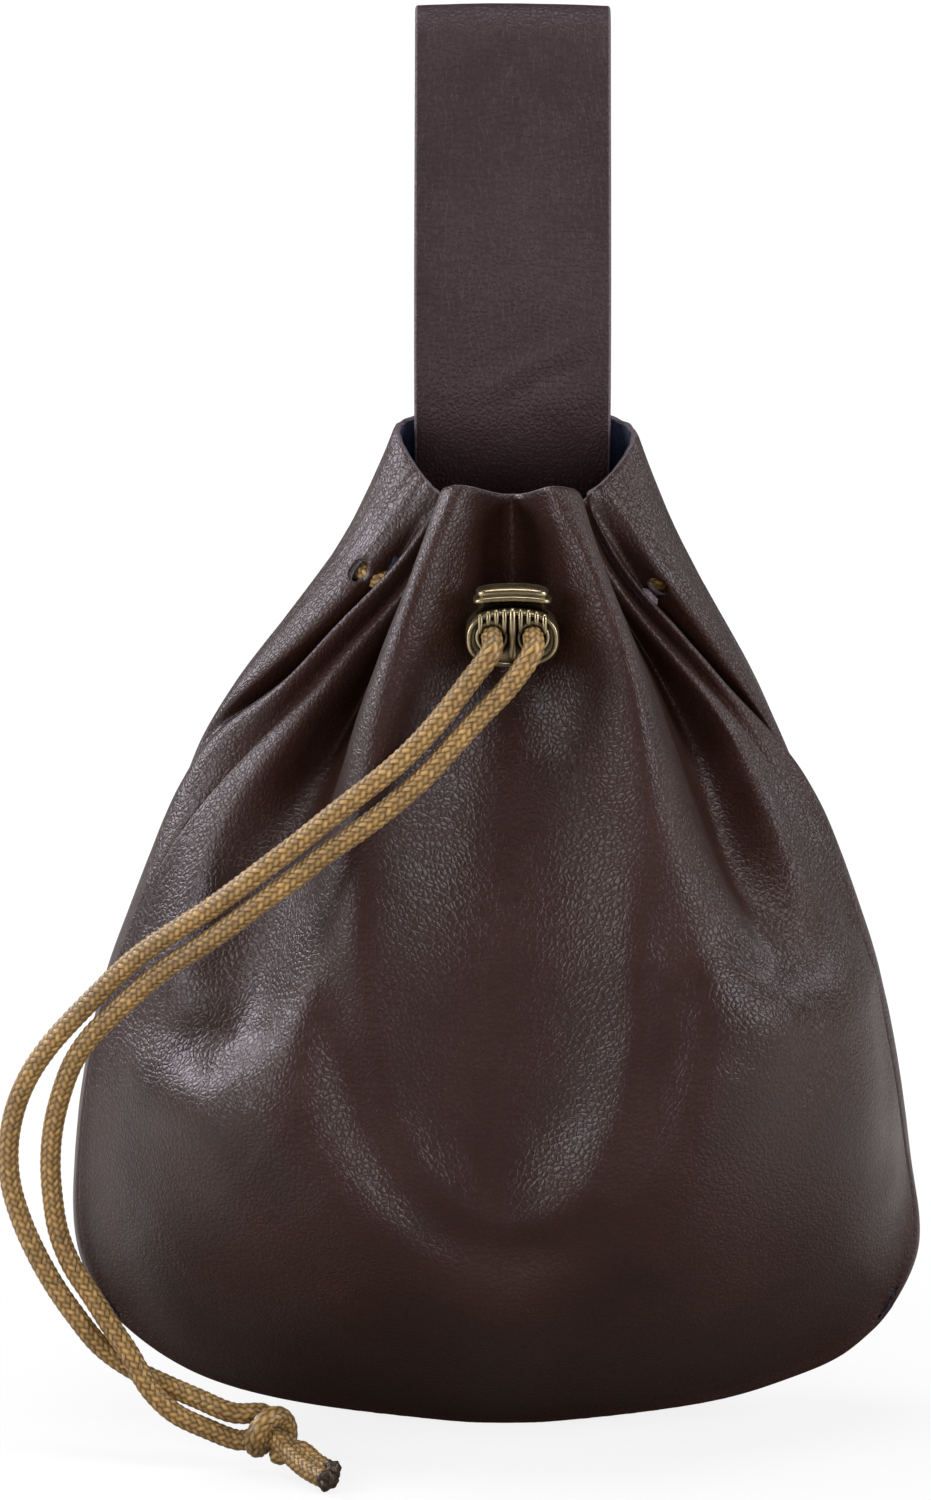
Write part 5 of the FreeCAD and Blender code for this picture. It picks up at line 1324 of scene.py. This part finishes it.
def face_lip():
    """Raised lip round the face of the drum."""
    path = np.array([drum_point(a, DRUM_WIDTH - LIP_INSET, DRUM_HEIGHT - LIP_INSET,
                                LOCK_FACE - 0.05) for a in np.linspace(0, 2 * math.pi, 97)])
    along = np.gradient(path, axis=0)
    along[0] = along[-1] = (along[0] + along[-1]) / 2
    along /= np.linalg.norm(along, axis=1, keepdims=True)
    out = np.cross(along, Y_AXIS)
    return loft([ring(point, 0.42, side, Y_AXIS, count=10) for point, side in zip(path, out)],
                close_ends=False)


def reed(number):
    """One upright reed on the upper face, bent over its edge; 0 is the middle one."""
    x = number * REED_PITCH
    top = DRUM_RISE + DRUM_HEIGHT * (1 - (abs(x) / DRUM_WIDTH) ** DRUM_POWER) ** (1 / DRUM_POWER)
    foot = REED_FEET[abs(number)]
    radius = 0.42 if number else 0.56
    # y from the face, z from the cords
    side_view = [(-0.05, foot), (-0.42, foot + 0.3), (-0.48, top - 0.9), (-0.15, top - 0.1),
                 (0.1, top - 0.1), (0.5, top - 0.8)]
    path = smooth_curve([(LOCK_X + x, LOCK_FACE + y, LOCK_Z + z) for y, z in side_view], 0.25)
    _, side, third = frames(path)
    return loft([ring(*station, count=10)
                 for station in zip(path, [radius] * len(path), side, third)])


def lock_shell():
    parts = [drum(), face_lip()]
    parts += [reed(number) for number in range(-4, 5)]
    parts += [torus(np.array([x, LOCK_FACE - 0.18, LOCK_Z]), 2.35, 0.42) for x in LEAD_X]
    return mesh_object("lock_shell", *join(parts), (brass,))


def lock_cap():
    """Push button with a stem down to the spring."""
    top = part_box("lock_button")[1].z * 1000
    stem_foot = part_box("lock_spring")[1].z * 1000 + 1.25
    stem = loft([level_ring(1.25, 1.4, z) for z in (stem_foot, top - 3.0)])
    button = loft([level_ring(width, depth, top - drop, dome=0.55)
                   for width, depth, drop in BUTTON_PROFILE])
    return mesh_object("lock_cap", *join([stem, button]), (brass,))


shell, cap = lock_shell(), lock_cap()
for lock_part in (shell, cap):
    face_outward(lock_part.data)
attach(shell, "cord_lock")
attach(cap, "lock_button")
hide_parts("lock_body")
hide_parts("lock_button")

# CAD pieces that stay in view
for node_name, material in (("lock_spring", steel), ("loop_stitches", thread)):
    node_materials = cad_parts[node_name].data.materials
    node_materials.clear()
    node_materials.append(material)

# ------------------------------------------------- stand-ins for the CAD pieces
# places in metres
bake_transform(front_skin)
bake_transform(back_skin)
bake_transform(stitches)
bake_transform(neck_cord)
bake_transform(strap_skin)
for upper, lower in ((upper_left, lower_left), (upper_right, lower_right)):
    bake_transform(upper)
    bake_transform(lower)

# object, material slot, CAD pieces it stands in for
STAND_INS = [
    (front_skin, "leather", ("front_panel", "front_neck")),
    (back_skin, "leather", ("back_panel",)),
    (strap_skin, "strap_leather", ("belt_loop", "loop_inner_tab", "loop_outer_tab")),
    (stitches, "thread", ("seam_thread",)),
    (neck_cord, "cord", ("drawstring_back", "drawstring_left", "drawstring_right")),
    (upper_left, "cord", ("cord_lead_left", "cord_tail_left")),
    (upper_right, "cord", ("cord_lead_right", "cord_tail_right")),
    (lower_left, "cord", ("cord_end_left", "cord_knot")),
    (lower_right, "cord", ("cord_end_right",)),
]
for ob, slot, replaced in STAND_INS:
    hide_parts(*replaced)


# --------------------------------------------------------------------- stage
def floor_material():
    """White paper to the camera; to the leather, dark with bright sides to mirror."""
    material, nodes, surface = new_material("floor_white")
    nodes.set(surface, {"Base Color": (0.80, 0.80, 0.82, 1), "Roughness": 0.7})
    place = nodes.add("NewGeometry").outputs["Position"]
    flat = nodes.add("VectorMath", {0: place, 1: (1.0, 1.0, 0.0)}, operation="MULTIPLY")
    away = nodes.add("VectorMath", {0: flat.outputs[0]}, operation="LENGTH").outputs["Value"]
    # the paper glows to plain white away from the pouch
    far = nodes.map_range(away, source=(0.10, 0.34), to=(0.80, 1.0),
                          interpolation_type="SMOOTHSTEP")
    camera_ray = nodes.add("LightPath").outputs["Is Camera Ray"]
    color = nodes.add("MixRGB", {"Fac": camera_ray, "Color1": (0.22, 0.20, 0.19, 1),
                                 "Color2": (0.82, 0.82, 0.84, 1)})
    nodes.set(surface, {"Base Color": color.outputs["Color"]})
    paper = nodes.math("MULTIPLY", far, camera_ray)
    white = nodes.add("Emission", {"Color": (1, 1, 1, 1), "Strength": 1.05})
    # glow to the left and right, hidden from the camera
    x = nodes.add("SeparateXYZ", {0: place}).outputs["X"]
    sides = nodes.map_range(nodes.add("Math", {0: x}, operation="ABSOLUTE").outputs[0],
                            source=(0.075, 0.15), to=(0.0, 0.6),
                            interpolation_type="SMOOTHSTEP")
    not_camera = nodes.math("SUBTRACT", 1.0, camera_ray)
    glow = nodes.add("Emission", {"Color": (1.0, 0.98, 0.98, 1),
                                  "Strength": nodes.math("MULTIPLY", sides, not_camera)})
    lit = nodes.add("AddShader", {0: surface.outputs[0], 1: glow.outputs[0]})
    mixed = nodes.add("MixShader", {"Fac": paper, 1: lit.outputs[0], 2: white.outputs[0]})
    nodes.set(nodes.tree.nodes["Material Output"], {"Surface": mixed.outputs[0]})
    return material


def white_room():
    """White to the camera, dim to everything else."""
    world = bpy.data.worlds.new("white_room")
    world.use_nodes = True
    nodes = Nodes(world.node_tree)
    seen = world.node_tree.nodes["Background"]
    nodes.set(seen, {"Color": (1, 1, 1, 1), "Strength": 1.05})
    camera_ray = nodes.add("LightPath").outputs["Is Camera Ray"]
    dim = nodes.add("Background", {"Color": (1.0, 0.97, 0.98, 1), "Strength": 0.075})
    mixed = nodes.add("MixShader", {"Fac": camera_ray, 1: dim.outputs[0], 2: seen.outputs[0]})
    nodes.set(world.node_tree.nodes["World Output"], {"Surface": mixed.outputs[0]})
    return world


def area_light(name, place, aim, size, power, color=(1, 1, 1)):
    """Rectangular light, in metres and watts."""
    light = bpy.data.lights.new(name, "AREA")
    light.shape = "RECTANGLE"
    light.size, light.size_y = size
    light.energy = power
    light.color = color
    ob = bpy.data.objects.new(name, light)
    bpy.context.scene.collection.objects.link(ob)
    ob.location = place
    ob.rotation_euler = (Vector(aim) - Vector(place)).to_track_quat("-Z", "Y").to_euler()
    return ob


def add_camera():
    lens = bpy.data.cameras.new("main")
    camera = bpy.data.objects.new("main", lens)
    bpy.context.scene.collection.objects.link(camera)
    lens.lens = SENSOR * CAMERA_DISTANCE / VIEW_HEIGHT
    lens.sensor_width = SENSOR
    lens.clip_start = 0.01
    camera.location = CAMERA_PLACE * MM
    camera.rotation_euler = Vector(VIEW).to_track_quat("-Z", "Y").to_euler()
    bpy.context.scene.camera = camera


bpy.ops.mesh.primitive_plane_add(size=6, location=(0, 0, 0))
floor = bpy.context.object
floor.name = "floor"
floor.data.materials.append(floor_material())

bpy.context.scene.world = white_room()

COOL, WARM = (0.96, 0.95, 1.0), (1.0, 0.96, 0.93)
area_light("key_left", place=(-0.80, -0.36, 0.40), aim=(0, 0, 0.07), size=(0.30, 0.50), power=4.0)
area_light("key_right", place=(0.80, -0.38, 0.42), aim=(0, 0, 0.07), size=(0.28, 0.50), power=4.2)
area_light("rim_left", place=(-0.70, 0.40, 0.52), aim=(0, 0, 0.10), size=(0.30, 0.42),
           power=5.0, color=COOL)
area_light("rim_right", place=(0.66, 0.46, 0.52), aim=(0, 0, 0.10), size=(0.24, 0.42),
           power=1.2, color=COOL)
area_light("top_soft", place=(0.0, -0.10, 0.85), aim=(0, 0, 0.10), size=(0.55, 0.30), power=2.6)
matte = area_light("front_matte", place=(0.0, -1.05, 0.14), aim=(0, 0, 0.08), size=(0.8, 0.5),
                   power=7.5, color=WARM)
matte.visible_glossy = False                 # fills without a reflection

add_camera()
bpy.context.scene.view_settings.view_transform = "Standard"
